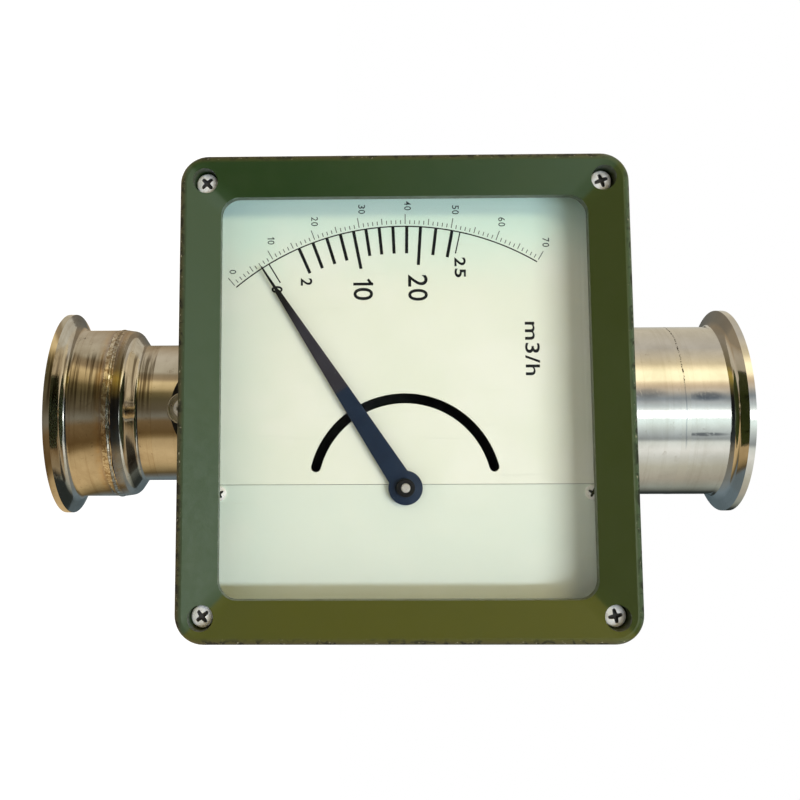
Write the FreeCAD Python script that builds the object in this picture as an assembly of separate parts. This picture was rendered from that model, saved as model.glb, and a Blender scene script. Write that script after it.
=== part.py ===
import FreeCAD, Part
import math
import os

# A metal-tube flow meter. Fluid flows up the pipe and lifts a float in a widening tube. A magnet in
# the float turns a magnet on the pointer's shaft, in a square housing in front of the pipe.
# Millimetres. The origin is the centre of the inlet ferrule's sealing face, +Z is the flow
# direction along the pipe axis, and the dial faces -Y. Distances named "depth" or ending in _D
# are measured from the pipe axis towards the dial, along -Y.

# Pipe ends
OVERALL_LENGTH = 300.0
TUBE_DIAMETER = 76.1
TUBE_WALL = 1.6
FLANGE_DIAMETER = 91.0
FLANGE_RIM = 2.85
FLANGE_BACK_DEG = 20.0
FLANGE_ROOT_ROUND = 4.0
SEAL_GROOVE_DIAMETER = 83.5
SEAL_GROOVE_ROUND = 1.6
INLET_STUB = 25.0
OUTLET_STUB = 26.9

# Weld beads, as V-shaped seams
BEAD_HALF_WIDTH = 2.0
BEAD_ROOT_HALF_WIDTH = 0.4
INLET_BEAD_CROWN = 0.9
OUTLET_BEAD_CROWN = 0.03

# Reducer and metering tube
NECK_DIAMETER = 62.0
REDUCER_BAND = 7.0
REDUCER_BAND_DROP = 0.7
REDUCER_SLOPE = 4.2
REDUCER_NECK = 7.0
REDUCER_SHOULDER_ROUND = 4.0
REDUCER_NECK_ROUND = 2.0
CONE_START = 84.0
CONE_LENGTH = 80.0
CONE_BLEND_ROUND = 40.0
GUIDE_SEAT_STEP = 1.0

# Guides of the float rod, set in from the tube's two welds
LOWER_GUIDE_SETBACK = 20.8
UPPER_GUIDE_SETBACK = 37.1
GUIDE_HEIGHT = 8.0
GUIDE_RIM_WALL = 2.0
GUIDE_HUB_RADIUS = 10.0
GUIDE_RIB_COUNT = 3
GUIDE_RIB_THICKNESS = 3.0
BUSH_RADIUS = 7.0
BUSH_FLANGE_RADIUS = 8.6
BUSH_FLANGE_HEIGHT = 1.5
RING_HEIGHT = 1.2
RING_WIDTH = 2.6
RING_GRIP = 0.7
RING_OPENING_DEG = 26.0

# Float
FLOAT_TRAVEL = 44.0
ROD_RADIUS = 4.0
ROD_OVERHANG = 3.0
FLOAT_EDGE_GAP = 0.6
FLOAT_EDGE_LAND = 1.0
FLOAT_NOSE_LENGTH = 20.0
FLOAT_NOSE_TIP_RADIUS = 8.0
FLOAT_BACK_TAPER = 9.0
FLOAT_STEM_RADIUS = 15.0
FLOAT_STEM_ROUND = 3.0
FLOAT_MAGNET_RADIUS = 12.0
FLOAT_MAGNET_HEIGHT = 32.0
FLOAT_CAP_SPIGOT = 4.0
FLOAT_CAP_HEAD = 3.0
STOP_RADIUS = 9.0
STOP_HEIGHT = 8.0
STOP_EDGE_ROUND = 1.0

# Bracket between tube and housing
BOSS_RADIUS = 8.0
BOSS_RISE = 5.0
BRACKET_WIDTH = 44.0
BRACKET_THICKNESS = 2.5
LOWER_BOSS_SETBACK = 17.1
UPPER_BOSS_SETBACK = 33.4
BRACKET_END_MARGIN = 6.0
BRACKET_SCREW_RADIUS = 2.0
BRACKET_SCREW_HEAD_RADIUS = 4.4
BRACKET_SCREW_HEAD = 2.6
CUP_RADIUS = 6.8
CUP_HEIGHT = 2.3
CUP_WALL = 0.6
CUP_RIM_ROUND = 0.25
CUP_INNER_ROUND = 0.8

# Housing: cover frame, base and their screws
COVER_WIDTH = 153.6
COVER_HEIGHT = 144.0
COVER_FRONT_D = 163.9
COVER_DEPTH = 29.0
COVER_WALL = 4.5
COVER_CORNER_ROUND = 9.0
COVER_EDGE_ROUND = 2.3
FRAME_SIDE = 13.0
FRAME_END = 12.85
WINDOW_CORNER_ROUND = 6.0
FRAME_SLOPE_DEPTH = 4.0
FRAME_THICKNESS = 4.0
COVER_SCREW_INSET = 8.0
COVER_SCREW_SINK = 5.4
COVER_SCREW_HEAD_RADIUS = 3.1
COVER_SCREW_HEAD = 2.2
COVER_SCREW_RADIUS = 1.5
COVER_SCREW_GRIP = 14.0
COUNTERBORE_RADIUS = 3.9
COLUMN_RADIUS = 5.5
BASE_STEP = 1.5
BASE_DRAFT_DEG = 1.2
BASE_WALL = 4.5
BASE_FLOOR = 3.5
BASE_BACK_CHAMFER = 2.5
FOOT_HEIGHT = 3.5
FOOT_RADIUS = 6.5
FOOT_SPAN_X = 26.0
FOOT_INSET_Z = 18.0
GASKET_WIDTH = 1.8
GASKET_HEIGHT = 1.4
BASE_SCREW_RADIUS = 2.5
BASE_SCREW_HEAD_RADIUS = 4.5
BASE_SCREW_HEAD = 3.2

# Window
GLASS_THICKNESS = 4.0
GLASS_MARGIN = 5.0
SEAL_THICKNESS = 1.2
SEAL_MARGIN = 1.0
SEAL_CORNER_ROUND = 8.0
CLIP_THICKNESS = 1.2
CLIP_MARGIN = 3.4
CLIP_SCREW_RADIUS = 1.0
CLIP_SCREW_HEAD_RADIUS = 1.6
CLIP_SCREW_HEAD = 1.0
CLIP_SCREW_HEAD_ROUND = 0.4
CLIP_BOSS_RADIUS = 1.9

# Dial
DIAL_DEPTH = 20.0
DIAL_THICKNESS = 1.0
DIAL_OVERLAP = 4.4
CARRIER_THICKNESS = 1.5
CARRIER_CORNER_ROUND = 2.0
NAME_STRIP_WIDTH = 34.95
SEAM_GAP = 0.16
SLOT_FROM_PIVOT = 1.1
SLOT_RADIUS = 30.3
SLOT_HALF_DEG = 75.0
SLOT_WIDTH = 3.3
DIAL_SCREW_FROM_SEAM = 2.75
DIAL_SCREW_EDGE = 2.6
DIAL_SCREW_RADIUS = 1.25
DIAL_SCREW_HEAD_RADIUS = 2.4
DIAL_SCREW_HEAD = 1.4
DIAL_SCREW_GRIP = 4.0

# Pointer and its shaft
PIVOT_FROM_SEAM = 1.05
POINTER_END_MARGIN = 6.7
POINTER_REST_DEG = 32.85
POINTER_THICKNESS = 0.6
POINTER_LIFT = 2.2
POINTER_HUB_RADIUS = 5.6
POINTER_ROOT_WIDTH = 7.2
POINTER_WAIST = 38.0
POINTER_WAIST_WIDTH = 5.0
POINTER_NEEDLE = 10.0
POINTER_NEEDLE_WIDTH = 1.9
POINTER_TIP_WIDTH = 0.5
POINTER_BUSH_RADIUS = 3.0
POINTER_BUSH_HEIGHT = 2.4
POINTER_BUSH_ROUND = 0.3
SHAFT_RADIUS = 1.5
SHAFT_NOSE = 0.5

# Movement behind the dial
MOVEMENT_LIFT = 9.0
MOVEMENT_THICKNESS = 2.0
MOVEMENT_MARGIN = 10.8
MOVEMENT_REACH = 67.9
MOVEMENT_HEIGHT = 96.0
MOVEMENT_CORNER_ROUND = 6.0
MOVEMENT_SCREW_RISE = 14.0
MOVEMENT_BOSS_RADIUS = 4.5
MOVEMENT_SCREW_RADIUS = 1.5
MOVEMENT_SCREW_HEAD_RADIUS = 2.8
MOVEMENT_SCREW_HEAD = 2.0
MOVEMENT_SCREW_GRIP = 6.0
PILLAR_INSET = 7.0
PILLAR_RADIUS = 3.5
BEARING_RADIUS = 3.5
BEARING_FLANGE_RADIUS = 5.2
BEARING_FLANGE = 1.2
BEARING_LENGTH = 4.0
FOLLOWER_GAP = 1.0
FOLLOWER_LENGTH = 24.0
FOLLOWER_WIDTH = 8.0
FOLLOWER_THICKNESS = 5.0
FOLLOWER_CORNER_ROUND = 0.8
HOLDER_RADIUS = 6.0
HOLDER_LIP = 1.2
HOLDER_EDGE_ROUND = 0.4
DISC_RADIUS = 20.0
DISC_THICKNESS = 1.0
DISC_STAND = 36.0
DISC_HUB_RADIUS = 4.5
DISC_HUB_HEIGHT = 5.0
BRAKE_GAP = 1.2
BRAKE_JAW = 6.0
BRAKE_BITE = 8.0
BRAKE_BACK = 5.0
BRAKE_WIDTH = 12.0
WEIGHT_STAND = 16.0
WEIGHT_REACH = 24.0
WEIGHT_RADIUS = 4.5
WEIGHT_HEIGHT = 5.0
WEIGHT_ARM_WIDTH = 3.0

# Pan-head screws: crown and cross recess, as shares of the head's height and radius
SCREW_CROWN = 0.75
RECESS_DEPTH = 0.55
RECESS_LENGTH = 1.25
RECESS_WIDTH = 0.28

# Fits
RUNNING_FIT = 0.05
SEATED_FIT = 0.1
SCREW_FIT = 0.15
CLEARANCE = 0.5
REST_GAP = 0.3
LEAST_CORNER_ROUND = 0.5

# How far a cutting shape runs past the face that it opens
PAST = 1.0

# Sizes that follow from the ones above
TUBE_R = TUBE_DIAMETER / 2
BORE_R = TUBE_R - TUBE_WALL
FLANGE_R = FLANGE_DIAMETER / 2
NECK_R = NECK_DIAMETER / 2
NECK_BORE_R = NECK_R - TUBE_WALL
BAND_R = TUBE_R - REDUCER_BAND_DROP
OUTLET_WELD_Z = OVERALL_LENGTH - OUTLET_STUB
SHOULDER_Z = INLET_STUB + REDUCER_BAND
NECK_Z = SHOULDER_Z + REDUCER_SLOPE
TUBE_START_Z = NECK_Z + REDUCER_NECK
LOWER_GUIDE_START = TUBE_START_Z + LOWER_GUIDE_SETBACK
UPPER_GUIDE_START = OUTLET_WELD_Z - UPPER_GUIDE_SETBACK
LOWER_SEAT_Z = LOWER_GUIDE_START + GUIDE_HEIGHT
UPPER_GUIDE_END = UPPER_GUIDE_START + GUIDE_HEIGHT
LOWER_BOSS_Z = TUBE_START_Z + LOWER_BOSS_SETBACK
UPPER_BOSS_Z = OUTLET_WELD_Z - UPPER_BOSS_SETBACK
HOUSING_Z = (LOWER_BOSS_Z + UPPER_BOSS_Z) / 2

FLOAT_START_Z = LOWER_SEAT_Z + BUSH_FLANGE_HEIGHT + REST_GAP
FLOAT_EDGE_Z = FLOAT_START_Z + FLOAT_NOSE_LENGTH
FLOAT_MAGNET_Z = HOUSING_Z - FLOAT_TRAVEL / 2 - FLOAT_MAGNET_HEIGHT / 2
FLOAT_CAP_Z = FLOAT_MAGNET_Z + FLOAT_MAGNET_HEIGHT
ROD_START_Z = LOWER_GUIDE_START - FLOAT_TRAVEL - ROD_OVERHANG
ROD_END_Z = UPPER_GUIDE_END + ROD_OVERHANG
STOP_END_Z = UPPER_GUIDE_START - BUSH_FLANGE_HEIGHT - FLOAT_TRAVEL - REST_GAP

BRACKET_BACK_D = TUBE_R + BOSS_RISE
BRACKET_FRONT_D = BRACKET_BACK_D + BRACKET_THICKNESS
BASE_BACK_D = BRACKET_FRONT_D + FOOT_HEIGHT
BASE_FLOOR_D = BASE_BACK_D + BASE_FLOOR
JOINT_D = COVER_FRONT_D - COVER_DEPTH
SCREW_X = COVER_WIDTH / 2 - COVER_SCREW_INSET
SCREW_Z = COVER_HEIGHT / 2 - COVER_SCREW_INSET
FOOT_SPAN_Z = COVER_HEIGHT - 2 * FOOT_INSET_Z
WINDOW_WIDTH = COVER_WIDTH - 2 * FRAME_SIDE
WINDOW_HEIGHT = COVER_HEIGHT - 2 * FRAME_END
WINDOW_EDGE_D = COVER_FRONT_D - FRAME_SLOPE_DEPTH
FRAME_BACK_D = WINDOW_EDGE_D - FRAME_THICKNESS
SEAL_BACK_D = FRAME_BACK_D - SEAL_THICKNESS
GLASS_BACK_D = SEAL_BACK_D - GLASS_THICKNESS
CLIP_BACK_D = GLASS_BACK_D - CLIP_THICKNESS
COVER_SCREW_SEAT_D = COVER_FRONT_D - COVER_SCREW_SINK - COVER_SCREW_HEAD
DIAL_FRONT_D = COVER_FRONT_D - DIAL_DEPTH
DIAL_BACK_D = DIAL_FRONT_D - DIAL_THICKNESS
CARRIER_BACK_D = DIAL_BACK_D - CARRIER_THICKNESS
DIAL_HALF_X = WINDOW_WIDTH / 2 + DIAL_OVERLAP
DIAL_HALF_Z = WINDOW_HEIGHT / 2 + DIAL_OVERLAP
SEAM_X = WINDOW_WIDTH / 2 - NAME_STRIP_WIDTH
DIAL_SCREW_X = SEAM_X + DIAL_SCREW_FROM_SEAM
PIVOT_X = SEAM_X + PIVOT_FROM_SEAM
SLOT_CENTRE_X = PIVOT_X + SLOT_FROM_PIVOT
POINTER_LENGTH = PIVOT_X + WINDOW_WIDTH / 2 - POINTER_END_MARGIN
POINTER_BACK_D = DIAL_FRONT_D + POINTER_LIFT
POINTER_FRONT_D = POINTER_BACK_D + POINTER_THICKNESS
BUSH_BACK_D = DIAL_FRONT_D + REST_GAP
SHAFT_FRONT_D = BUSH_BACK_D + POINTER_LIFT + POINTER_BUSH_HEIGHT + SHAFT_NOSE
MOVEMENT_BACK_D = BASE_FLOOR_D + MOVEMENT_LIFT
MOVEMENT_FRONT_D = MOVEMENT_BACK_D + MOVEMENT_THICKNESS
MOVEMENT_LOW_X = PIVOT_X - MOVEMENT_REACH
MOVEMENT_HIGH_X = COVER_WIDTH / 2 - MOVEMENT_MARGIN
MOVEMENT_WIDTH = MOVEMENT_HIGH_X - MOVEMENT_LOW_X
MOVEMENT_CENTRE_X = (MOVEMENT_LOW_X + MOVEMENT_HIGH_X) / 2
FOLLOWER_BACK_D = BASE_FLOOR_D + FOLLOWER_GAP
HOLDER_FRONT_D = FOLLOWER_BACK_D + FOLLOWER_THICKNESS + HOLDER_LIP
DISC_BACK_D = MOVEMENT_FRONT_D + DISC_STAND
DISC_FRONT_D = DISC_BACK_D + DISC_THICKNESS
WEIGHT_BACK_D = CARRIER_BACK_D - WEIGHT_STAND


def vector(x, y, z):
    return FreeCAD.Vector(x, y, z)


def rounded_wire(corners, place):
    """Closed wire through corners (a, b, radius), each rounded by a tangent arc."""
    bends = []
    for index, (a, b, radius) in enumerate(corners):
        here = vector(a, b, 0)
        before = corners[index - 1]
        after = corners[(index + 1) % len(corners)]
        back = (vector(before[0], before[1], 0) - here).normalize()
        ahead = (vector(after[0], after[1], 0) - here).normalize()
        half = back.getAngle(ahead) / 2
        inward = back + ahead
        if radius == 0 or inward.Length < 1e-6:
            bends.append((here, None, here))
            continue
        inward.normalize()
        reach = radius / math.tan(half)
        middle = here + inward * (radius / math.sin(half) - radius)
        bends.append((here + back * reach, middle, here + ahead * reach))
    edges = []
    for index, (enter, middle, leave) in enumerate(bends):
        if middle is not None:
            points = [place(p.x, p.y) for p in (enter, middle, leave)]
            edges.append(Part.Arc(*points).toShape())
        following = bends[(index + 1) % len(bends)][0]
        if leave.distanceToPoint(following) > 1e-6:
            edges.append(Part.LineSegment(place(leave.x, leave.y), place(following.x, following.y)).toShape())
    return Part.Wire(edges)


def turned(corners):
    """Solid turned about the pipe axis from corners (radius, z, rounding)."""
    wire = rounded_wire(corners, lambda r, z: vector(r, 0, z))
    return Part.Face(wire).revolve(vector(0, 0, 0), vector(0, 0, 1), 360)


def turned_forward(x, z, corners):
    """Solid turned about an axis along Y through x and z, from corners (radius, depth, rounding)."""
    wire = rounded_wire(corners, lambda r, depth: vector(x + r, -depth, z))
    return Part.Face(wire).revolve(vector(x, 0, z), vector(0, 1, 0), 360)


def peg(x, z, radius, start_d, end_d):
    """Cylinder along -Y between two depths."""
    return Part.makeCylinder(radius, end_d - start_d, vector(x, -start_d, z), vector(0, -1, 0))


def disc_along_pipe(radius, start_z, end_z):
    return Part.makeCylinder(radius, end_z - start_z, vector(0, 0, start_z))


def rectangle_wire(half_x, half_z, radius, depth, centre_x=0.0):
    corners = [(centre_x + side_x * half_x, HOUSING_Z + side_z * half_z, radius)
               for side_x, side_z in ((-1, -1), (1, -1), (1, 1), (-1, 1))]
    return rounded_wire(corners, lambda x, z: vector(x, -depth, z))


def slab(half_x, half_z, radius, start_d, end_d, centre_x=0.0):
    """Rectangular plate with rounded corners, between two depths."""
    wire = rectangle_wire(half_x, half_z, radius, start_d, centre_x)
    return Part.Face(wire).extrude(vector(0, start_d - end_d, 0))


def cut_all(shape, tools):
    for tool in tools:
        shape = shape.cut(tool)
    return shape


def fuse_all(shape, others):
    for other in others:
        shape = shape.fuse(other)
    return shape.removeSplitter()


def group(shapes):
    return Part.makeCompound(shapes)


def corners_of(span_x, span_z, centre_x=0.0):
    """The four corner points (x, z) of a rectangle centred on the housing."""
    return [(centre_x + side_x * span_x / 2, HOUSING_Z + side_z * span_z / 2)
            for side_x in (-1, 1) for side_z in (-1, 1)]


def pan_screw(x, z, seat_d, head_radius, head_height, shank_radius, grip):
    """Screw along -Y with its head in front of seat_d and a cross recess in the head."""
    top_d = seat_d + head_height
    screw = turned_forward(x, z, [(0, seat_d - grip, 0), (shank_radius, seat_d - grip, 0),
                                  (shank_radius, seat_d, 0), (head_radius, seat_d, 0),
                                  (head_radius, top_d, head_height * SCREW_CROWN), (0, top_d, 0)])
    length = head_radius * RECESS_LENGTH
    width = head_radius * RECESS_WIDTH
    depth = head_height * RECESS_DEPTH
    for size_x, size_z in ((length, width), (width, length)):
        corner = vector(x - size_x / 2, -top_d - PAST, z - size_z / 2)
        screw = screw.cut(Part.makeBox(size_x, depth + PAST, size_z, corner))
    return screw


def housing_screw_points():
    return corners_of(2 * SCREW_X, 2 * SCREW_Z)


def column_clearances(start_d, end_d):
    """Pegs that keep a plate clear of the four screw columns."""
    return [peg(x, z, COLUMN_RADIUS + CLEARANCE, start_d, end_d) for x, z in housing_screw_points()]


# Pipe

def ferrule(face_z, weld_z):
    """Clamp ferrule with a tapered flange, from its sealing face to its weld."""
    way = 1 if weld_z > face_z else -1
    taper = (FLANGE_R - TUBE_R) * math.tan(math.radians(FLANGE_BACK_DEG))
    body = turned([(BORE_R, face_z, 0), (FLANGE_R, face_z, 0), (FLANGE_R, face_z + way * FLANGE_RIM, 0),
                   (TUBE_R, face_z + way * (FLANGE_RIM + taper), FLANGE_ROOT_ROUND),
                   (TUBE_R, weld_z - way * BEAD_HALF_WIDTH, 0),
                   (BORE_R, weld_z - way * BEAD_ROOT_HALF_WIDTH, 0)])
    return body.cut(Part.makeTorus(SEAL_GROOVE_DIAMETER / 2, SEAL_GROOVE_ROUND, vector(0, 0, face_z)))


def weld_bead(weld_z, crown):
    """Weld seam in the V between two tube ends, with its crown as an arc."""
    low = weld_z - BEAD_HALF_WIDTH
    high = weld_z + BEAD_HALF_WIDTH
    points = [vector(TUBE_R, 0, low), vector(BORE_R, 0, weld_z - BEAD_ROOT_HALF_WIDTH),
              vector(BORE_R, 0, weld_z + BEAD_ROOT_HALF_WIDTH), vector(TUBE_R, 0, high)]
    edges = [Part.LineSegment(a, b).toShape() for a, b in zip(points, points[1:])]
    edges.append(Part.Arc(points[3], vector(TUBE_R + crown, 0, weld_z), points[0]).toShape())
    return Part.Face(Part.Wire(edges)).revolve(vector(0, 0, 0), vector(0, 0, 1), 360)


def inlet_reducer():
    """Pressed reducer: a band that narrows a little from the weld, a round shoulder and the neck."""
    inner_shoulder_z = SHOULDER_Z + TUBE_WALL / 2
    inner_neck_z = NECK_Z + TUBE_WALL / 2
    return turned([(TUBE_R, INLET_STUB + BEAD_HALF_WIDTH, 0), (BAND_R, SHOULDER_Z, REDUCER_SHOULDER_ROUND),
                   (NECK_R, NECK_Z, REDUCER_NECK_ROUND), (NECK_R, TUBE_START_Z, 0),
                   (NECK_BORE_R, TUBE_START_Z, 0), (NECK_BORE_R, inner_neck_z, REDUCER_NECK_ROUND),
                   (BAND_R - TUBE_WALL, inner_shoulder_z, REDUCER_SHOULDER_ROUND),
                   (BORE_R, INLET_STUB + BEAD_ROOT_HALF_WIDTH, 0)])


def cone_radius(start_radius, end_radius, z):
    """Radius of the metering cone at height z."""
    return start_radius + (end_radius - start_radius) * (z - CONE_START) / CONE_LENGTH


def tube_envelope():
    """The metering tube's outside, as a solid without its bore."""
    return turned([(0, TUBE_START_Z, 0), (NECK_R, TUBE_START_Z, 0), (NECK_R, CONE_START, CONE_BLEND_ROUND),
                   (TUBE_R, CONE_START + CONE_LENGTH, CONE_BLEND_ROUND),
                   (TUBE_R, OUTLET_WELD_Z - BEAD_HALF_WIDTH, 0),
                   (BORE_R, OUTLET_WELD_Z - BEAD_ROOT_HALF_WIDTH, 0),
                   (0, OUTLET_WELD_Z - BEAD_ROOT_HALF_WIDTH, 0)])


def metering_tube():
    """Widening tube with a seat for a guide at each end and a groove for its retaining ring."""
    low = NECK_BORE_R - GUIDE_SEAT_STEP
    high = BORE_R - GUIDE_SEAT_STEP
    bore = turned([(0, TUBE_START_Z - PAST, 0), (NECK_BORE_R, TUBE_START_Z - PAST, 0),
                   (NECK_BORE_R, LOWER_SEAT_Z, 0), (low, LOWER_SEAT_Z, 0), (low, CONE_START, 0),
                   (high, CONE_START + CONE_LENGTH, 0), (high, UPPER_GUIDE_START, 0),
                   (BORE_R, UPPER_GUIDE_START, 0), (BORE_R, OUTLET_WELD_Z + PAST, 0),
                   (0, OUTLET_WELD_Z + PAST, 0)])
    groove_height = RING_HEIGHT + SEATED_FIT
    grooves = [disc_along_pipe(NECK_BORE_R + RING_GRIP + SEATED_FIT, LOWER_GUIDE_START - groove_height,
                               LOWER_GUIDE_START),
               disc_along_pipe(BORE_R + RING_GRIP + SEATED_FIT, UPPER_GUIDE_END,
                               UPPER_GUIDE_END + groove_height)]
    return cut_all(tube_envelope(), [bore] + grooves)


def guide(start_z, bore_radius):
    """Star-shaped guide: a rim that seats in the tube, ribs and a hub."""
    end_z = start_z + GUIDE_HEIGHT
    outer = bore_radius - SEATED_FIT
    inner = outer - GUIDE_RIM_WALL
    rim = disc_along_pipe(outer, start_z, end_z).cut(disc_along_pipe(inner, start_z, end_z))
    middle = outer - GUIDE_RIM_WALL / 2
    ribs = []
    for index in range(GUIDE_RIB_COUNT):
        rib = Part.makeBox(middle, GUIDE_RIB_THICKNESS, GUIDE_HEIGHT,
                           vector(0, -GUIDE_RIB_THICKNESS / 2, start_z))
        rib.rotate(vector(0, 0, 0), vector(0, 0, 1), 90 + index * 360 / GUIDE_RIB_COUNT)
        ribs.append(rib)
    star = fuse_all(rim, ribs + [disc_along_pipe(GUIDE_HUB_RADIUS, start_z, end_z)])
    return star.cut(disc_along_pipe(BUSH_RADIUS + SEATED_FIT, start_z - PAST, end_z + PAST))


def guide_bush(start_z, flange_up):
    """Flanged bush in a guide's hub, with its flange on the side that meets the float or stop."""
    end_z = start_z + GUIDE_HEIGHT
    if flange_up:
        flange = disc_along_pipe(BUSH_FLANGE_RADIUS, end_z, end_z + BUSH_FLANGE_HEIGHT)
    else:
        flange = disc_along_pipe(BUSH_FLANGE_RADIUS, start_z - BUSH_FLANGE_HEIGHT, start_z)
    body = fuse_all(disc_along_pipe(BUSH_RADIUS, start_z, end_z), [flange])
    bore = disc_along_pipe(ROD_RADIUS + RUNNING_FIT, start_z - GUIDE_HEIGHT, end_z + GUIDE_HEIGHT)
    return body.cut(bore)


def retaining_ring(start_z, bore_radius):
    """Open spring ring in the groove beside a guide."""
    outer = bore_radius + RING_GRIP
    ring = disc_along_pipe(outer, start_z, start_z + RING_HEIGHT)
    ring = ring.cut(disc_along_pipe(outer - RING_WIDTH, start_z, start_z + RING_HEIGHT))
    reach = 2 * outer
    opening = Part.makeCylinder(reach, RING_HEIGHT, vector(0, 0, start_z), vector(0, 0, 1), RING_OPENING_DEG)
    return ring.cut(opening)


# Float

def float_body():
    """Turned float: nose cone, metering edge and a stem that holds the magnet."""
    low_bore = NECK_BORE_R - GUIDE_SEAT_STEP
    edge_radius = cone_radius(low_bore, BORE_R - GUIDE_SEAT_STEP, FLOAT_EDGE_Z) - FLOAT_EDGE_GAP
    edge_end = FLOAT_EDGE_Z + FLOAT_EDGE_LAND
    body = turned([(0, FLOAT_START_Z, 0), (FLOAT_NOSE_TIP_RADIUS, FLOAT_START_Z, 0),
                   (edge_radius, FLOAT_EDGE_Z, 0), (edge_radius, edge_end, 0),
                   (FLOAT_STEM_RADIUS, edge_end + FLOAT_BACK_TAPER, FLOAT_STEM_ROUND),
                   (FLOAT_STEM_RADIUS, FLOAT_CAP_Z + FLOAT_CAP_SPIGOT, 0),
                   (0, FLOAT_CAP_Z + FLOAT_CAP_SPIGOT, 0)])
    pocket = disc_along_pipe(FLOAT_MAGNET_RADIUS + SEATED_FIT, FLOAT_MAGNET_Z,
                             FLOAT_CAP_Z + 2 * FLOAT_CAP_SPIGOT)
    rod_hole = disc_along_pipe(ROD_RADIUS + RUNNING_FIT, FLOAT_START_Z - PAST, FLOAT_CAP_Z)
    return cut_all(body, [pocket, rod_hole])


def float_magnet():
    magnet = disc_along_pipe(FLOAT_MAGNET_RADIUS, FLOAT_MAGNET_Z, FLOAT_CAP_Z)
    return magnet.cut(disc_along_pipe(ROD_RADIUS + RUNNING_FIT, FLOAT_MAGNET_Z, FLOAT_CAP_Z))


def float_cap():
    """Cap that closes the magnet's pocket, with a chamfered head."""
    head_z = FLOAT_CAP_Z + FLOAT_CAP_SPIGOT
    end_z = head_z + FLOAT_CAP_HEAD
    return turned([(ROD_RADIUS + RUNNING_FIT, FLOAT_CAP_Z, 0), (FLOAT_MAGNET_RADIUS, FLOAT_CAP_Z, 0),
                   (FLOAT_MAGNET_RADIUS, head_z, 0), (FLOAT_STEM_RADIUS, head_z, 0),
                   (FLOAT_STEM_RADIUS, end_z - FLOAT_CAP_HEAD / 2, 0),
                   (FLOAT_STEM_RADIUS - FLOAT_CAP_HEAD, end_z, 0), (ROD_RADIUS + RUNNING_FIT, end_z, 0)])


def float_rod():
    """Guide rod through the float, with rounded ends."""
    return turned([(0, ROD_START_Z, 0), (ROD_RADIUS, ROD_START_Z, ROD_RADIUS / 2),
                   (ROD_RADIUS, ROD_END_Z, ROD_RADIUS / 2), (0, ROD_END_Z, 0)])


def float_stop():
    """Collar on the rod that meets the upper guide at the top of the travel."""
    start_z = STOP_END_Z - STOP_HEIGHT
    return turned([(ROD_RADIUS + RUNNING_FIT, start_z, 0), (STOP_RADIUS, start_z, STOP_EDGE_ROUND),
                   (STOP_RADIUS, STOP_END_Z, STOP_EDGE_ROUND), (ROD_RADIUS + RUNNING_FIT, STOP_END_Z, 0)])


# Bracket

def bracket_points():
    return [LOWER_BOSS_Z, UPPER_BOSS_Z]


def bracket_bosses():
    """Round bosses welded to the tube, each with its end shaped to the tube."""
    envelope = tube_envelope()
    hole_radius = BRACKET_SCREW_RADIUS + SCREW_FIT
    bosses = []
    for z in bracket_points():
        boss = peg(0, z, BOSS_RADIUS, 0, BRACKET_BACK_D).cut(envelope)
        bosses.append(boss.cut(peg(0, z, hole_radius, TUBE_R, BRACKET_BACK_D + PAST)))
    return group([max(boss.Solids, key=lambda solid: solid.Volume) for boss in bosses])


def bracket_plate():
    """Flat plate with round ends that carries the housing on the two bosses."""
    half_x = BRACKET_WIDTH / 2
    half_z = (UPPER_BOSS_Z - LOWER_BOSS_Z) / 2 + BRACKET_END_MARGIN
    plate = slab(half_x, half_z, half_x, BRACKET_BACK_D, BRACKET_FRONT_D)
    holes = [peg(0, z, BRACKET_SCREW_RADIUS + SCREW_FIT, BRACKET_BACK_D - PAST, BRACKET_FRONT_D + PAST)
             for z in bracket_points()]
    holes += [peg(x, z, BASE_SCREW_RADIUS + SCREW_FIT, BRACKET_BACK_D - PAST, BRACKET_FRONT_D + PAST)
              for x, z in foot_points()]
    return cut_all(plate, holes)


def bracket_cups():
    """Cup washers under the bracket screws."""
    back_d = BRACKET_FRONT_D
    floor_d = back_d + CUP_WALL
    front_d = back_d + CUP_HEIGHT
    hole = BRACKET_SCREW_RADIUS + SCREW_FIT
    inner = CUP_RADIUS - CUP_WALL
    section = [(hole, back_d, 0), (CUP_RADIUS, back_d, 0), (CUP_RADIUS, front_d, CUP_RIM_ROUND),
               (inner, front_d, CUP_RIM_ROUND), (inner, floor_d, CUP_INNER_ROUND), (hole, floor_d, 0)]
    return group([turned_forward(0, z, section) for z in bracket_points()])


def bracket_screws():
    seat_d = BRACKET_FRONT_D + CUP_WALL
    grip = seat_d - TUBE_R - CLEARANCE
    return group([pan_screw(0, z, seat_d, BRACKET_SCREW_HEAD_RADIUS, BRACKET_SCREW_HEAD,
                            BRACKET_SCREW_RADIUS, grip) for z in bracket_points()])


# Housing

def base_envelope(inset, back_d, chamfer):
    """Drafted block of the housing base, inset from its outside, open-ended at the cover."""
    slope = math.tan(math.radians(BASE_DRAFT_DEG))
    wires = []
    for depth, extra in ((back_d, chamfer), (back_d + chamfer, 0.0), (JOINT_D, 0.0)):
        shrink = BASE_STEP + inset + extra + (JOINT_D - depth) * slope
        radius = max(COVER_CORNER_ROUND - shrink, LEAST_CORNER_ROUND)
        wires.append(rectangle_wire(COVER_WIDTH / 2 - shrink, COVER_HEIGHT / 2 - shrink, radius, depth))
    if chamfer == 0:
        wires = wires[1:]
    return Part.makeLoft(wires, True, True)


def foot_points():
    return corners_of(FOOT_SPAN_X, FOOT_SPAN_Z)


def movement_boss_points():
    return [(MOVEMENT_LOW_X + PILLAR_INSET, HOUSING_Z - MOVEMENT_SCREW_RISE),
            (MOVEMENT_HIGH_X - PILLAR_INSET, HOUSING_Z + MOVEMENT_SCREW_RISE)]


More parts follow.
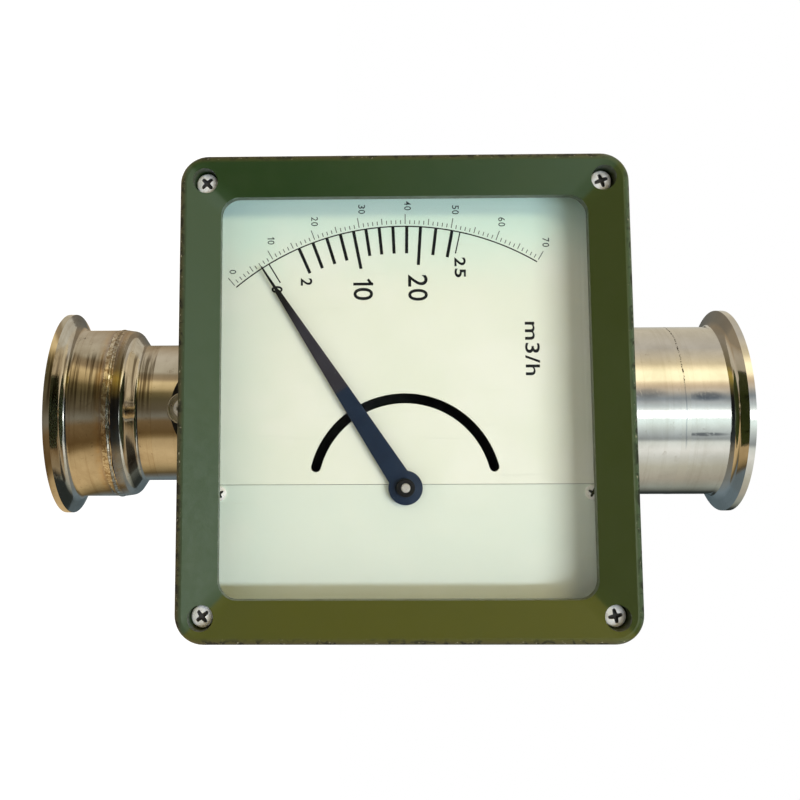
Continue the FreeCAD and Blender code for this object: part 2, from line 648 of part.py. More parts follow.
def housing_base():
    """Cast base: drafted walls, screw columns, feet for the bracket and bosses for the movement."""
    outside = base_envelope(0, BASE_BACK_D, BASE_BACK_CHAMFER)
    shell = outside.cut(base_envelope(BASE_WALL, BASE_FLOOR_D, 0))
    columns = [peg(x, z, COLUMN_RADIUS, BASE_BACK_D, JOINT_D).common(outside)
               for x, z in housing_screw_points()]
    feet = [peg(x, z, FOOT_RADIUS, BRACKET_FRONT_D, BASE_FLOOR_D) for x, z in foot_points()]
    bosses = [peg(x, z, MOVEMENT_BOSS_RADIUS, BASE_FLOOR_D - BASE_FLOOR / 2, MOVEMENT_BACK_D)
              for x, z in movement_boss_points()]
    base = fuse_all(shell, columns + feet + bosses)
    holes = [peg(x, z, COVER_SCREW_RADIUS + SCREW_FIT, JOINT_D - COVER_SCREW_GRIP - CLEARANCE, JOINT_D + PAST)
             for x, z in housing_screw_points()]
    holes += [peg(x, z, BASE_SCREW_RADIUS + SCREW_FIT, BRACKET_FRONT_D - PAST, BASE_FLOOR_D + PAST)
              for x, z in foot_points()]
    holes += [peg(x, z, MOVEMENT_SCREW_RADIUS + SCREW_FIT, MOVEMENT_FRONT_D - MOVEMENT_SCREW_GRIP - CLEARANCE,
                  MOVEMENT_BACK_D + PAST) for x, z in movement_boss_points()]
    groove_inset = BASE_STEP + (BASE_WALL - GASKET_WIDTH) / 2 - SEATED_FIT
    groove = frame_ring(COVER_WIDTH / 2 - groove_inset, COVER_HEIGHT / 2 - groove_inset,
                        COVER_CORNER_ROUND - groove_inset, GASKET_WIDTH + 2 * SEATED_FIT,
                        JOINT_D - GASKET_HEIGHT, JOINT_D + PAST)
    return cut_all(base, holes + [groove])


def frame_ring(half_x, half_z, radius, width, start_d, end_d):
    """Rectangular ring of a given width, measured inwards from its outline."""
    outer = slab(half_x, half_z, radius, start_d, end_d)
    inner_radius = max(radius - width, LEAST_CORNER_ROUND)
    return outer.cut(slab(half_x - width, half_z - width, inner_radius, start_d - PAST, end_d + PAST))


def cover_gasket():
    inset = BASE_STEP + (BASE_WALL - GASKET_WIDTH) / 2
    return frame_ring(COVER_WIDTH / 2 - inset, COVER_HEIGHT / 2 - inset, COVER_CORNER_ROUND - inset,
                      GASKET_WIDTH, JOINT_D - GASKET_HEIGHT, JOINT_D)


def base_screws():
    """Screws from inside the base, through its feet into the bracket."""
    grip = BASE_FLOOR_D - BRACKET_BACK_D
    return group([pan_screw(x, z, BASE_FLOOR_D, BASE_SCREW_HEAD_RADIUS, BASE_SCREW_HEAD,
                            BASE_SCREW_RADIUS, grip) for x, z in foot_points()])


def clip_screw_points():
    """Screws of the window's clips, between the glass's edge and the cover's wall."""
    glass_x = WINDOW_WIDTH / 2 + GLASS_MARGIN
    glass_z = WINDOW_HEIGHT / 2 + GLASS_MARGIN
    wall_x = COVER_WIDTH / 2 - COVER_WALL
    wall_z = COVER_HEIGHT / 2 - COVER_WALL
    middle_x = (glass_x + wall_x) / 2
    middle_z = (glass_z + wall_z) / 2
    return [(-middle_x, HOUSING_Z), (middle_x, HOUSING_Z),
            (0, HOUSING_Z - middle_z), (0, HOUSING_Z + middle_z)]


def cover():
    """Cast cover frame: rounded edge, face that slopes in to the window, counterbored screw columns."""
    half_x = COVER_WIDTH / 2
    half_z = COVER_HEIGHT / 2
    block = slab(half_x, half_z, COVER_CORNER_ROUND, JOINT_D, COVER_FRONT_D)
    front_edges = [edge for edge in block.Edges
                   if all(abs(vertex.Point.y + COVER_FRONT_D) < 1e-6 for vertex in edge.Vertexes)]
    block = block.makeFillet(COVER_EDGE_ROUND, front_edges)
    funnel = Part.makeLoft([
        rectangle_wire(WINDOW_WIDTH / 2, WINDOW_HEIGHT / 2, WINDOW_CORNER_ROUND, WINDOW_EDGE_D),
        rectangle_wire(half_x - COVER_EDGE_ROUND, half_z - COVER_EDGE_ROUND,
                       COVER_CORNER_ROUND - COVER_EDGE_ROUND, COVER_FRONT_D)], True, True)
    window = slab(WINDOW_WIDTH / 2, WINDOW_HEIGHT / 2, WINDOW_CORNER_ROUND,
                  FRAME_BACK_D - PAST, WINDOW_EDGE_D)
    cavity = slab(half_x - COVER_WALL, half_z - COVER_WALL, COVER_CORNER_ROUND - COVER_WALL,
                  JOINT_D - PAST, FRAME_BACK_D)
    shell = cut_all(block, [funnel, window, cavity])
    columns = [peg(x, z, COLUMN_RADIUS, JOINT_D, FRAME_BACK_D) for x, z in housing_screw_points()]
    bosses = [peg(x, z, CLIP_BOSS_RADIUS, GLASS_BACK_D, FRAME_BACK_D) for x, z in clip_screw_points()]
    shell = fuse_all(shell, columns + bosses)
    holes = [peg(x, z, COUNTERBORE_RADIUS, COVER_SCREW_SEAT_D, COVER_FRONT_D + PAST)
             for x, z in housing_screw_points()]
    holes += [peg(x, z, COVER_SCREW_RADIUS + SCREW_FIT, JOINT_D - PAST, COVER_FRONT_D)
              for x, z in housing_screw_points()]
    holes += [peg(x, z, CLIP_SCREW_RADIUS + SCREW_FIT, GLASS_BACK_D - PAST, FRAME_BACK_D)
              for x, z in clip_screw_points()]
    return cut_all(shell, holes)


def cover_screws():
    grip = COVER_SCREW_SEAT_D - JOINT_D + COVER_SCREW_GRIP
    return group([pan_screw(x, z, COVER_SCREW_SEAT_D, COVER_SCREW_HEAD_RADIUS, COVER_SCREW_HEAD,
                            COVER_SCREW_RADIUS, grip) for x, z in housing_screw_points()])


# Window

def window_pane_cutters(start_d, end_d):
    """What a pane is cut back from: screw columns and the clips' bosses."""
    bosses = [peg(x, z, CLIP_BOSS_RADIUS + CLEARANCE / 2, start_d, end_d) for x, z in clip_screw_points()]
    return column_clearances(start_d, end_d) + bosses


def window_glass():
    glass = slab(WINDOW_WIDTH / 2 + GLASS_MARGIN, WINDOW_HEIGHT / 2 + GLASS_MARGIN, WINDOW_CORNER_ROUND,
                 GLASS_BACK_D, SEAL_BACK_D)
    return cut_all(glass, window_pane_cutters(GLASS_BACK_D, SEAL_BACK_D))


def window_seal():
    """Flat seal between the frame and the glass."""
    outer = slab(WINDOW_WIDTH / 2 + GLASS_MARGIN, WINDOW_HEIGHT / 2 + GLASS_MARGIN, WINDOW_CORNER_ROUND,
                 SEAL_BACK_D, FRAME_BACK_D)
    hole = slab(WINDOW_WIDTH / 2 + SEAL_MARGIN, WINDOW_HEIGHT / 2 + SEAL_MARGIN, SEAL_CORNER_ROUND,
                SEAL_BACK_D - PAST, FRAME_BACK_D + PAST)
    return cut_all(outer, [hole] + window_pane_cutters(SEAL_BACK_D, FRAME_BACK_D))


def window_clips():
    """Four sheet strips that clamp the glass's sides to the cover, between the screw columns."""
    half_x = COVER_WIDTH / 2 - COVER_WALL - CLEARANCE
    half_z = COVER_HEIGHT / 2 - COVER_WALL - CLEARANCE
    outer = slab(half_x, half_z, 0, CLIP_BACK_D, GLASS_BACK_D)
    hole = slab(WINDOW_WIDTH / 2 + CLIP_MARGIN, WINDOW_HEIGHT / 2 + CLIP_MARGIN, 0,
                CLIP_BACK_D - PAST, GLASS_BACK_D + PAST)
    corners = []
    for x, z in housing_screw_points():
        side = 2 * (COLUMN_RADIUS + CLEARANCE)
        low = vector(x - side / 2, -GLASS_BACK_D - PAST, z - side / 2)
        corners.append(Part.makeBox(side, CLIP_THICKNESS + 2 * PAST, side, low))
    holes = [peg(x, z, CLIP_SCREW_RADIUS + SCREW_FIT, CLIP_BACK_D - PAST, GLASS_BACK_D + PAST)
             for x, z in clip_screw_points()]
    return cut_all(outer, [hole] + corners + holes)


def clip_screws():
    """Small screws with their heads on the clips' inner side."""
    tip_d = FRAME_BACK_D - CLEARANCE
    head_d = CLIP_BACK_D - CLIP_SCREW_HEAD
    section = [(0, head_d, 0), (CLIP_SCREW_HEAD_RADIUS, head_d, CLIP_SCREW_HEAD_ROUND),
               (CLIP_SCREW_HEAD_RADIUS, CLIP_BACK_D, 0), (CLIP_SCREW_RADIUS, CLIP_BACK_D, 0),
               (CLIP_SCREW_RADIUS, tip_d, 0), (0, tip_d, 0)]
    return group([turned_forward(x, z, section) for x, z in clip_screw_points()])


# Dial

def arc_slot(width, start_d, end_d):
    """Curved slot with round ends, open towards the seam."""
    def at(radius, degrees):
        angle = math.radians(degrees)
        return vector(SLOT_CENTRE_X - radius * math.cos(angle), -start_d,
                      HOUSING_Z + radius * math.sin(angle))
    inner = SLOT_RADIUS - width / 2
    outer = SLOT_RADIUS + width / 2
    end = SLOT_HALF_DEG
    cap_deg = math.degrees(width / 2 / SLOT_RADIUS)
    edges = [Part.Arc(at(outer, -end), at(outer, 0), at(outer, end)).toShape(),
             Part.Arc(at(outer, end), at(SLOT_RADIUS, end + cap_deg), at(inner, end)).toShape(),
             Part.Arc(at(inner, end), at(inner, 0), at(inner, -end)).toShape(),
             Part.Arc(at(inner, -end), at(SLOT_RADIUS, -end - cap_deg), at(outer, -end)).toShape()]
    return Part.Face(Part.Wire(edges)).extrude(vector(0, start_d - end_d, 0))


def dial_screw_points():
    reach = DIAL_HALF_Z - DIAL_SCREW_EDGE
    return [(DIAL_SCREW_X, HOUSING_Z - reach), (DIAL_SCREW_X, HOUSING_Z + reach)]


def dial_cutters(start_d, end_d):
    """Holes that the dial's plates and their carrier share."""
    cutters = column_clearances(start_d, end_d)
    cutters.append(peg(PIVOT_X, HOUSING_Z, BEARING_RADIUS + SEATED_FIT, start_d, end_d))
    cutters += [peg(x, z, DIAL_SCREW_RADIUS + SCREW_FIT, start_d, end_d) for x, z in dial_screw_points()]
    return cutters


def dial_half(low_x, high_x):
    centre = (low_x + high_x) / 2
    plate = slab((high_x - low_x) / 2, DIAL_HALF_Z, 0, DIAL_BACK_D, DIAL_FRONT_D, centre)
    return cut_all(plate, dial_cutters(DIAL_BACK_D - PAST, DIAL_FRONT_D + PAST))


def scale_plate():
    plate = dial_half(-DIAL_HALF_X, SEAM_X - SEAM_GAP / 2)
    return plate.cut(arc_slot(SLOT_WIDTH, DIAL_BACK_D - PAST, DIAL_FRONT_D + PAST))


def name_plate():
    return dial_half(SEAM_X + SEAM_GAP / 2, DIAL_HALF_X)


def dial_carrier():
    """Sheet behind the dial plates, with the same slot and the front bearing's hole."""
    plate = slab(DIAL_HALF_X, DIAL_HALF_Z, CARRIER_CORNER_ROUND, CARRIER_BACK_D, DIAL_BACK_D)
    slot = arc_slot(SLOT_WIDTH + 2 * CLEARANCE, CARRIER_BACK_D - PAST, DIAL_BACK_D + PAST)
    return cut_all(plate, dial_cutters(CARRIER_BACK_D - PAST, DIAL_BACK_D + PAST) + [slot])


def dial_screws():
    return group([pan_screw(x, z, DIAL_FRONT_D, DIAL_SCREW_HEAD_RADIUS, DIAL_SCREW_HEAD,
                            DIAL_SCREW_RADIUS, DIAL_SCREW_GRIP) for x, z in dial_screw_points()])


# Movement

def pillar_points():
    return corners_of(MOVEMENT_WIDTH - 2 * PILLAR_INSET, MOVEMENT_HEIGHT - 2 * PILLAR_INSET,
                      MOVEMENT_CENTRE_X)


def movement_plate():
    """Rear plate of the movement, with the rear bearing's hole."""
    plate = slab(MOVEMENT_WIDTH / 2, MOVEMENT_HEIGHT / 2, MOVEMENT_CORNER_ROUND, MOVEMENT_BACK_D,
                 MOVEMENT_FRONT_D, MOVEMENT_CENTRE_X)
    start_d = MOVEMENT_BACK_D - PAST
    end_d = MOVEMENT_FRONT_D + PAST
    holes = [peg(PIVOT_X, HOUSING_Z, BEARING_RADIUS + SEATED_FIT, start_d, end_d)]
    holes += [peg(x, z, MOVEMENT_SCREW_RADIUS + SCREW_FIT, start_d, end_d)
              for x, z in movement_boss_points()]
    return cut_all(plate, holes)


def movement_screws():
    return group([pan_screw(x, z, MOVEMENT_FRONT_D, MOVEMENT_SCREW_HEAD_RADIUS, MOVEMENT_SCREW_HEAD,
                            MOVEMENT_SCREW_RADIUS, MOVEMENT_SCREW_GRIP) for x, z in movement_boss_points()])


def dial_pillars():
    """Posts from the movement plate to the dial's carrier."""
    return group([peg(x, z, PILLAR_RADIUS, MOVEMENT_FRONT_D, CARRIER_BACK_D) for x, z in pillar_points()])


def shaft_bearing(plate_face_d, plate_thickness, flange_way):
    """Flanged bush for the pointer's shaft: its body is in the plate, its flange on plate_face_d."""
    bore = SHAFT_RADIUS + RUNNING_FIT
    flange_d = plate_face_d + flange_way * BEARING_FLANGE
    end_d = plate_face_d + flange_way * BEARING_LENGTH
    inner_d = plate_face_d - flange_way * plate_thickness
    corners = [(bore, inner_d, 0), (BEARING_RADIUS, inner_d, 0), (BEARING_RADIUS, plate_face_d, 0),
               (BEARING_FLANGE_RADIUS, plate_face_d, 0), (BEARING_FLANGE_RADIUS, flange_d, 0),
               (BEARING_RADIUS, flange_d, 0), (BEARING_RADIUS, end_d, 0), (bore, end_d, 0)]
    return turned_forward(PIVOT_X, HOUSING_Z, corners)


def brake_magnet():
    """C-shaped magnet that straddles the damping disc, on a leg from the movement plate."""
    mouth_x = PIVOT_X + DISC_RADIUS - BRAKE_BITE
    throat_x = PIVOT_X + DISC_RADIUS + BRAKE_GAP
    back_x = throat_x + BRAKE_BACK
    gap_low = DISC_BACK_D - BRAKE_GAP
    gap_high = DISC_FRONT_D + BRAKE_GAP
    corners = [(throat_x, MOVEMENT_FRONT_D, 0), (back_x, MOVEMENT_FRONT_D, 0),
               (back_x, gap_high + BRAKE_JAW, 0), (mouth_x, gap_high + BRAKE_JAW, 0), (mouth_x, gap_high, 0),
               (throat_x, gap_high, 0), (throat_x, gap_low, 0), (mouth_x, gap_low, 0),
               (mouth_x, gap_low - BRAKE_JAW, 0), (throat_x, gap_low - BRAKE_JAW, 0)]
    low_z = HOUSING_Z - BRAKE_WIDTH / 2
    wire = rounded_wire(corners, lambda x, depth: vector(x, -depth, low_z))
    return Part.Face(wire).extrude(vector(0, 0, BRAKE_WIDTH))


# Pointer

def on_pointer(shape):
    """Turns a piece from pointing along -X to the pointer's rest angle."""
    shape.rotate(vector(PIVOT_X, 0, HOUSING_Z), vector(0, 1, 0), -POINTER_REST_DEG)
    return shape


def pointer():
    """Flat blade that narrows at its waist and ends in a needle."""
    stations = [(0, POINTER_ROOT_WIDTH), (POINTER_WAIST, POINTER_WAIST_WIDTH),
                (POINTER_LENGTH - POINTER_NEEDLE, POINTER_NEEDLE_WIDTH), (POINTER_LENGTH, POINTER_TIP_WIDTH)]
    upper = [(PIVOT_X - reach, HOUSING_Z + width / 2, 0) for reach, width in stations]
    lower = [(PIVOT_X - reach, HOUSING_Z - width / 2, 0) for reach, width in reversed(stations)]
    wire = rounded_wire(upper + lower, lambda x, z: vector(x, -POINTER_BACK_D, z))
    blade = Part.Face(wire).extrude(vector(0, -POINTER_THICKNESS, 0))
    blade = fuse_all(blade, [peg(PIVOT_X, HOUSING_Z, POINTER_HUB_RADIUS, POINTER_BACK_D, POINTER_FRONT_D)])
    bore = peg(PIVOT_X, HOUSING_Z, POINTER_BUSH_RADIUS + SEATED_FIT,
               POINTER_BACK_D - PAST, POINTER_FRONT_D + PAST)
    return on_pointer(blade.cut(bore))


def pointer_bush():
    """Turned bush that carries the pointer's hub on a collar."""
    bore = SHAFT_RADIUS + RUNNING_FIT
    front_d = SHAFT_FRONT_D - SHAFT_NOSE
    return turned_forward(PIVOT_X, HOUSING_Z, [
        (bore, BUSH_BACK_D, 0), (POINTER_HUB_RADIUS - CLEARANCE, BUSH_BACK_D, 0),
        (POINTER_HUB_RADIUS - CLEARANCE, POINTER_BACK_D, 0), (POINTER_BUSH_RADIUS, POINTER_BACK_D, 0),
        (POINTER_BUSH_RADIUS, front_d, POINTER_BUSH_ROUND), (bore, front_d, 0)])


def pointer_shaft():
    return turned_forward(PIVOT_X, HOUSING_Z, [
        (0, FOLLOWER_BACK_D + FOLLOWER_THICKNESS, 0), (SHAFT_RADIUS, FOLLOWER_BACK_D + FOLLOWER_THICKNESS, 0),
        (SHAFT_RADIUS, SHAFT_FRONT_D, SHAFT_RADIUS / 3), (0, SHAFT_FRONT_D, 0)])


def follower_magnet():
    """Bar magnet at the shaft's rear end, in line with the float's magnet at mid travel."""
    bar = slab(FOLLOWER_LENGTH / 2, FOLLOWER_WIDTH / 2, FOLLOWER_CORNER_ROUND, FOLLOWER_BACK_D,
               FOLLOWER_BACK_D + FOLLOWER_THICKNESS, PIVOT_X)
    return on_pointer(bar)


def magnet_holder():
    """Disc on the shaft that the bar magnet is bonded to."""
    start_d = FOLLOWER_BACK_D + FOLLOWER_THICKNESS
    bore = SHAFT_RADIUS + RUNNING_FIT
    return turned_forward(PIVOT_X, HOUSING_Z, [
        (bore, start_d, 0), (HOLDER_RADIUS, start_d, 0),
        (HOLDER_RADIUS, HOLDER_FRONT_D, HOLDER_EDGE_ROUND), (bore, HOLDER_FRONT_D, 0)])


def damping_disc():
    """Thin disc in the brake magnet's gap, with its hub."""
    bore = SHAFT_RADIUS + RUNNING_FIT
    hub_d = DISC_FRONT_D + DISC_HUB_HEIGHT
    return turned_forward(PIVOT_X, HOUSING_Z, [
        (bore, DISC_BACK_D, 0), (DISC_RADIUS, DISC_BACK_D, 0), (DISC_RADIUS, DISC_FRONT_D, 0),
        (DISC_HUB_RADIUS, DISC_FRONT_D, 0), (DISC_HUB_RADIUS, hub_d, 0), (bore, hub_d, 0)])


def counterweight():
    """Arm and weight opposite the pointer, behind the dial."""
    front_d = WEIGHT_BACK_D + WEIGHT_HEIGHT
    hub = peg(PIVOT_X, HOUSING_Z, DISC_HUB_RADIUS, WEIGHT_BACK_D, front_d)
    arm = Part.makeBox(WEIGHT_REACH, WEIGHT_HEIGHT / 2, WEIGHT_ARM_WIDTH,
                       vector(PIVOT_X, -WEIGHT_BACK_D - WEIGHT_HEIGHT / 2, HOUSING_Z - WEIGHT_ARM_WIDTH / 2))
    weight = peg(PIVOT_X + WEIGHT_REACH, HOUSING_Z, WEIGHT_RADIUS, WEIGHT_BACK_D, front_d)
    body = fuse_all(hub, [arm, weight])
    bore = peg(PIVOT_X, HOUSING_Z, SHAFT_RADIUS + RUNNING_FIT, WEIGHT_BACK_D - PAST, front_d + PAST)
    return on_pointer(body.cut(bore))


NODES = {
    "inlet_ferrule": lambda: ferrule(0, INLET_STUB),
    "inlet_weld": lambda: weld_bead(INLET_STUB, INLET_BEAD_CROWN),
    "inlet_reducer": inlet_reducer,
    "metering_tube": metering_tube,
    "outlet_weld": lambda: weld_bead(OUTLET_WELD_Z, OUTLET_BEAD_CROWN),
    "outlet_ferrule": lambda: ferrule(OVERALL_LENGTH, OUTLET_WELD_Z),
    "lower_guide": lambda: guide(LOWER_GUIDE_START, NECK_BORE_R),
    "lower_bush": lambda: guide_bush(LOWER_GUIDE_START, True),
    "lower_retaining_ring": lambda: retaining_ring(LOWER_GUIDE_START - RING_HEIGHT, NECK_BORE_R),
    "upper_guide": lambda: guide(UPPER_GUIDE_START, BORE_R),
    "upper_bush": lambda: guide_bush(UPPER_GUIDE_START, False),
    "upper_retaining_ring": lambda: retaining_ring(UPPER_GUIDE_END, BORE_R),
    "float_body": float_body,
    "float_magnet": float_magnet,
    "float_cap": float_cap,
    "float_rod": float_rod,
    "float_stop": float_stop,
    "bracket_bosses": bracket_bosses,
    "bracket_plate": bracket_plate,
    "bracket_cups": bracket_cups,
    "bracket_screws": bracket_screws,
    "housing_base": housing_base,
    "base_screws": base_screws,
    "cover_gasket": cover_gasket,
    "cover": cover,
    "cover_screws": cover_screws,
    "window_glass": window_glass,
    "window_seal": window_seal,
    "window_clips": window_clips,
    "clip_screws": clip_screws,
    "scale_plate": scale_plate,
    "name_plate": name_plate,
    "dial_carrier": dial_carrier,
    "dial_screws": dial_screws,
    "dial_pillars": dial_pillars,
    "movement_plate": movement_plate,
    "movement_screws": movement_screws,
    "rear_bearing": lambda: shaft_bearing(MOVEMENT_FRONT_D, MOVEMENT_THICKNESS, 1),
    "front_bearing": lambda: shaft_bearing(CARRIER_BACK_D, CARRIER_THICKNESS, -1),
    "brake_magnet": brake_magnet,
    "pointer": pointer,
    "pointer_bush": pointer_bush,
    "pointer_shaft": pointer_shaft,
    "follower_magnet": follower_magnet,
    "magnet_holder": magnet_holder,
    "damping_disc": damping_disc,
    "counterweight": counterweight,
}

os.makedirs("parts", exist_ok=True)
for name, make in NODES.items():
    make().exportStep("parts/" + name + ".step")
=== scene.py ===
import math

import bmesh
import bpy
from mathutils import Matrix, Vector, noise


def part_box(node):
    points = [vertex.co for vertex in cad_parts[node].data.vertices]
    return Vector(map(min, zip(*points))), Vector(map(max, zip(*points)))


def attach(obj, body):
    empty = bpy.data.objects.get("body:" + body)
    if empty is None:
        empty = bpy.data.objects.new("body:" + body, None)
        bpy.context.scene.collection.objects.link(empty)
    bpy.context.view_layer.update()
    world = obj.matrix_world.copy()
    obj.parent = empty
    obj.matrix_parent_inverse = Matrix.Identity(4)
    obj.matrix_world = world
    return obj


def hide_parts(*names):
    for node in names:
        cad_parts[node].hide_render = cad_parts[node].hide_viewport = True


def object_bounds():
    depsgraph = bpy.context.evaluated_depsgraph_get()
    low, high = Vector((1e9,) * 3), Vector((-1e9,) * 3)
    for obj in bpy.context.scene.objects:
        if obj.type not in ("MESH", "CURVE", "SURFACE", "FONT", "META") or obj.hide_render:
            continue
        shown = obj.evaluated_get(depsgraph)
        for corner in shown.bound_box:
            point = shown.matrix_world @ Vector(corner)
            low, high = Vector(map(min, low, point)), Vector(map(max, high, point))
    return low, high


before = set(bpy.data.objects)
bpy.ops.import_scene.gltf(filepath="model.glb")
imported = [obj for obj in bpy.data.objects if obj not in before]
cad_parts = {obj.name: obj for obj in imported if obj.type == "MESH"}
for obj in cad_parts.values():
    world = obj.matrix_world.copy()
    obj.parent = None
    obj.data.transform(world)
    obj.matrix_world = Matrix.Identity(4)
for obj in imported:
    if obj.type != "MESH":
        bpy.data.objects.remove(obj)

# A flow meter on a vertical steel pipe. A square green housing in front of the pipe holds a dial
# with a pointer behind glass. Metres; the pipe axis is Z and the dial faces -Y.

MM = 0.001
cad_low, cad_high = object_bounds()
COVER_LOW, COVER_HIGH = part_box("cover")
SCALE_LOW, SCALE_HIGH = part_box("scale_plate")
WELD_LOW, WELD_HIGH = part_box("inlet_weld")
OUTLET_WELD_LOW, OUTLET_WELD_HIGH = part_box("outlet_weld")
REDUCER_LOW, REDUCER_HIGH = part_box("inlet_reducer")
POINTER_LOW, POINTER_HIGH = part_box("pointer")
BUSH_LOW, BUSH_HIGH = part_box("pointer_bush")
SCREWS_LOW, SCREWS_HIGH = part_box("cover_screws")
DIAL_SCREWS_LOW, DIAL_SCREWS_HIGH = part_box("dial_screws")
CENTRE_Z = (COVER_LOW.z + COVER_HIGH.z) / 2
DIAL_Y = SCALE_LOW.y
PIVOT_X = (BUSH_LOW.x + BUSH_HIGH.x) / 2
DIAL_CENTRE = (0.0, DIAL_Y, CENTRE_Z)
INLET_WELD_Z = (WELD_LOW.z + WELD_HIGH.z) / 2
OUTLET_WELD_Z = (OUTLET_WELD_LOW.z + OUTLET_WELD_HIGH.z) / 2

# Camera, held on its side as the photograph is taken: the image's right is +Z and its top is -X
CAMERA_PLACE = Vector((0.01751, -0.50578, 0.13876))
CAMERA_AIM = Vector((-0.02675, -0.144, 0.13194))
CAMERA_TOP = Vector((-0.9926, -0.1213, 0.0063))
CAMERA_LENS = 49.14
CAMERA_SENSOR = 36.0
CAMERA_SHIFT_X = 0.0632
CAMERA_SHIFT_Y = -0.1048

# Dial print: radii in millimetres from the arc's centre, degrees from the direction that points to -X.
# A place is x from the pipe's axis and z from the dial's middle line; a height and a width may follow.
PRINT_CENTRE_X = 29.9
SCALE_RADIUS = 87.05
ARC_LINE_WIDTH = 0.42
ARC_START_DEG = -40.07
DIVISION_DEG = 1.0154
DIVISIONS = 70
DIVISION_LENGTHS = {1: 1.3, 5: 2.1, 10: 3.4}
DIVISION_WIDTH = 0.3
DIVISION_GAP = 0.8
FINE_NUMBERS = {0: (-42.0, -57.2), 10: (-52.5, -44.4), 20: (-59.0, -29.7), 30: (-63.1, -13.8),
                40: (-64.2, 1.7), 50: (-62.7, 17.8), 60: (-58.4, 33.3), 70: (-51.3, 47.9)}
FINE_NUMBER_HEIGHT = 2.35
FINE_DIGIT_WIDTH = 1.35
FINE_DIGIT_GAP = 0.4
FLOW_TICKS = {0: -31.19, 2: -23.67, 4: -20.36, 6: -17.11, 8: -13.99, 10: -10.99, 12: -8.21,
              14: -5.24, 16: -2.18, 18: 0.9, 20: 3.96, 22: 7.39, 24: 10.99, 25: 12.77}
FLOW_TICK_WIDTH = 1.05
FLOW_TICK_THIN_WIDTH = 0.42
FLOW_TICK_END = 77.8
FLOW_TICK_LONG_END = 74.0
FLOW_TICK_THIN_END = 79.6
FLOW_NUMBERS = {"0": (-35.9, -42.3, 3.7, 2.4), "2": (-38.4, -32.4, 3.85, 2.5),
                "10": (-35.75, -13.4, 6.7, 4.2), "20": (-36.2, 4.9, 6.7, 4.0),
                "25": (-43.0, 19.1, 3.75, 3.0)}
FLOW_DIGIT_GAP = 0.8
UNIT_PLACE = (-15.6, 42.6, 4.9, 17.8)
PRINT_THICKNESS = 0.03
PRINT_MERGE = 0.002
FINE_WEIGHT = 0.02
BIG_DIGIT = 5.0
BIG_WEIGHT = 0.08
SMALL_WEIGHT = 0.11
UNIT_WEIGHT = 0.07
UNIT_SPACING = 1.03
# Where the dark carrier's painted bluish sheen sits, in millimetres along x
SLOT_TOP_X = 0.7

# Digit height as a share of the font's size, then the figure one: its width as a share of a digit's, its
# stroke, flag reach and flag drop as shares of its height, its flag's top and width as shares of the stroke
DIGIT_HEIGHT = 0.73
ONE_SHARE = 0.55
STROKE_SHARE = 0.142
FLAG_REACH = 0.24
FLAG_DROP = 0.27
FLAG_TOP = 0.6
FLAG_WIDTH = 0.85

# Marks on the inlet reducer and ferrule, in millimetres
RUST_SPOT = (-1.6, -37.0, 35.3)
BROWN_STAIN = (22.2, -26.4, 35.3)
DARK_SPECKS = (-32.6, -19.7, 9.6)

# Bead on the inlet weld: lengths in millimetres, counts and shares. It is roughest towards -X and -Y.
WALL = 1.6
BEAD_ROOT_HALF = 0.4
BEAD_CROWN_HALF = 1.15
BEAD_RISE = 0.4
BEAD_POINTS = 9
BEAD_STEPS = 240
BEAD_RIPPLES = 110
BEAD_RIPPLE_DEPTH = 0.04
BEAD_LUMPS = 12.0
BEAD_LUMP_DEPTH = 0.15
BEAD_WANDER = 0.35
BEAD_SMOOTH_SHARE = 0.35
BEAD_ROUGH_ANGLE = math.radians(-125)

# Pointer's outline: distance from the pivot, or back from the tip, and full width, in millimetres
POINTER_ROOT_WIDTH = 7.2
POINTER_FOLD = 38.0
POINTER_FOLD_WIDTH = 5.0
NEEDLE_ROOT_BACK = 10.2
NEEDLE_ROOT_WIDTH = 1.7
NEEDLE_BACK = 8.9
NEEDLE_WIDTH = 1.0
NEEDLE_TIP_WIDTH = 0.55
POINTER_EDGE_ROUND = 0.12

# Screw heads, in millimetres: radius, height of the rim and of the crown above it, the centre's distance
# from the edge of the node's box, the seat's depth behind that box's front, the shank's radius
COVER_HEAD_RADIUS = 3.5
COVER_HEAD_RIM = 1.3
COVER_HEAD_CROWN = 1.2
COVER_SCREW_INSET = 3.1
COVER_HEAD_SEAT = 2.2
COVER_SHANK_RADIUS = 1.5
DIAL_HEAD_RADIUS = 2.4
DIAL_HEAD_RIM = 0.8
DIAL_HEAD_CROWN = 0.7
DIAL_HEAD_SEAT = 1.4
DIAL_SHANK_RADIUS = 1.25
COVER_SCREW_X = SCREWS_HIGH.x / MM - COVER_SCREW_INSET
COVER_SCREW_Z = (SCREWS_HIGH.z - CENTRE_Z) / MM - COVER_SCREW_INSET
DIAL_SCREW_X = (DIAL_SCREWS_LOW.x + DIAL_SCREWS_HIGH.x) / 2 / MM
DIAL_SCREW_Z = (DIAL_SCREWS_HIGH.z - CENTRE_Z) / MM - DIAL_HEAD_RADIUS


# Nodes of materials

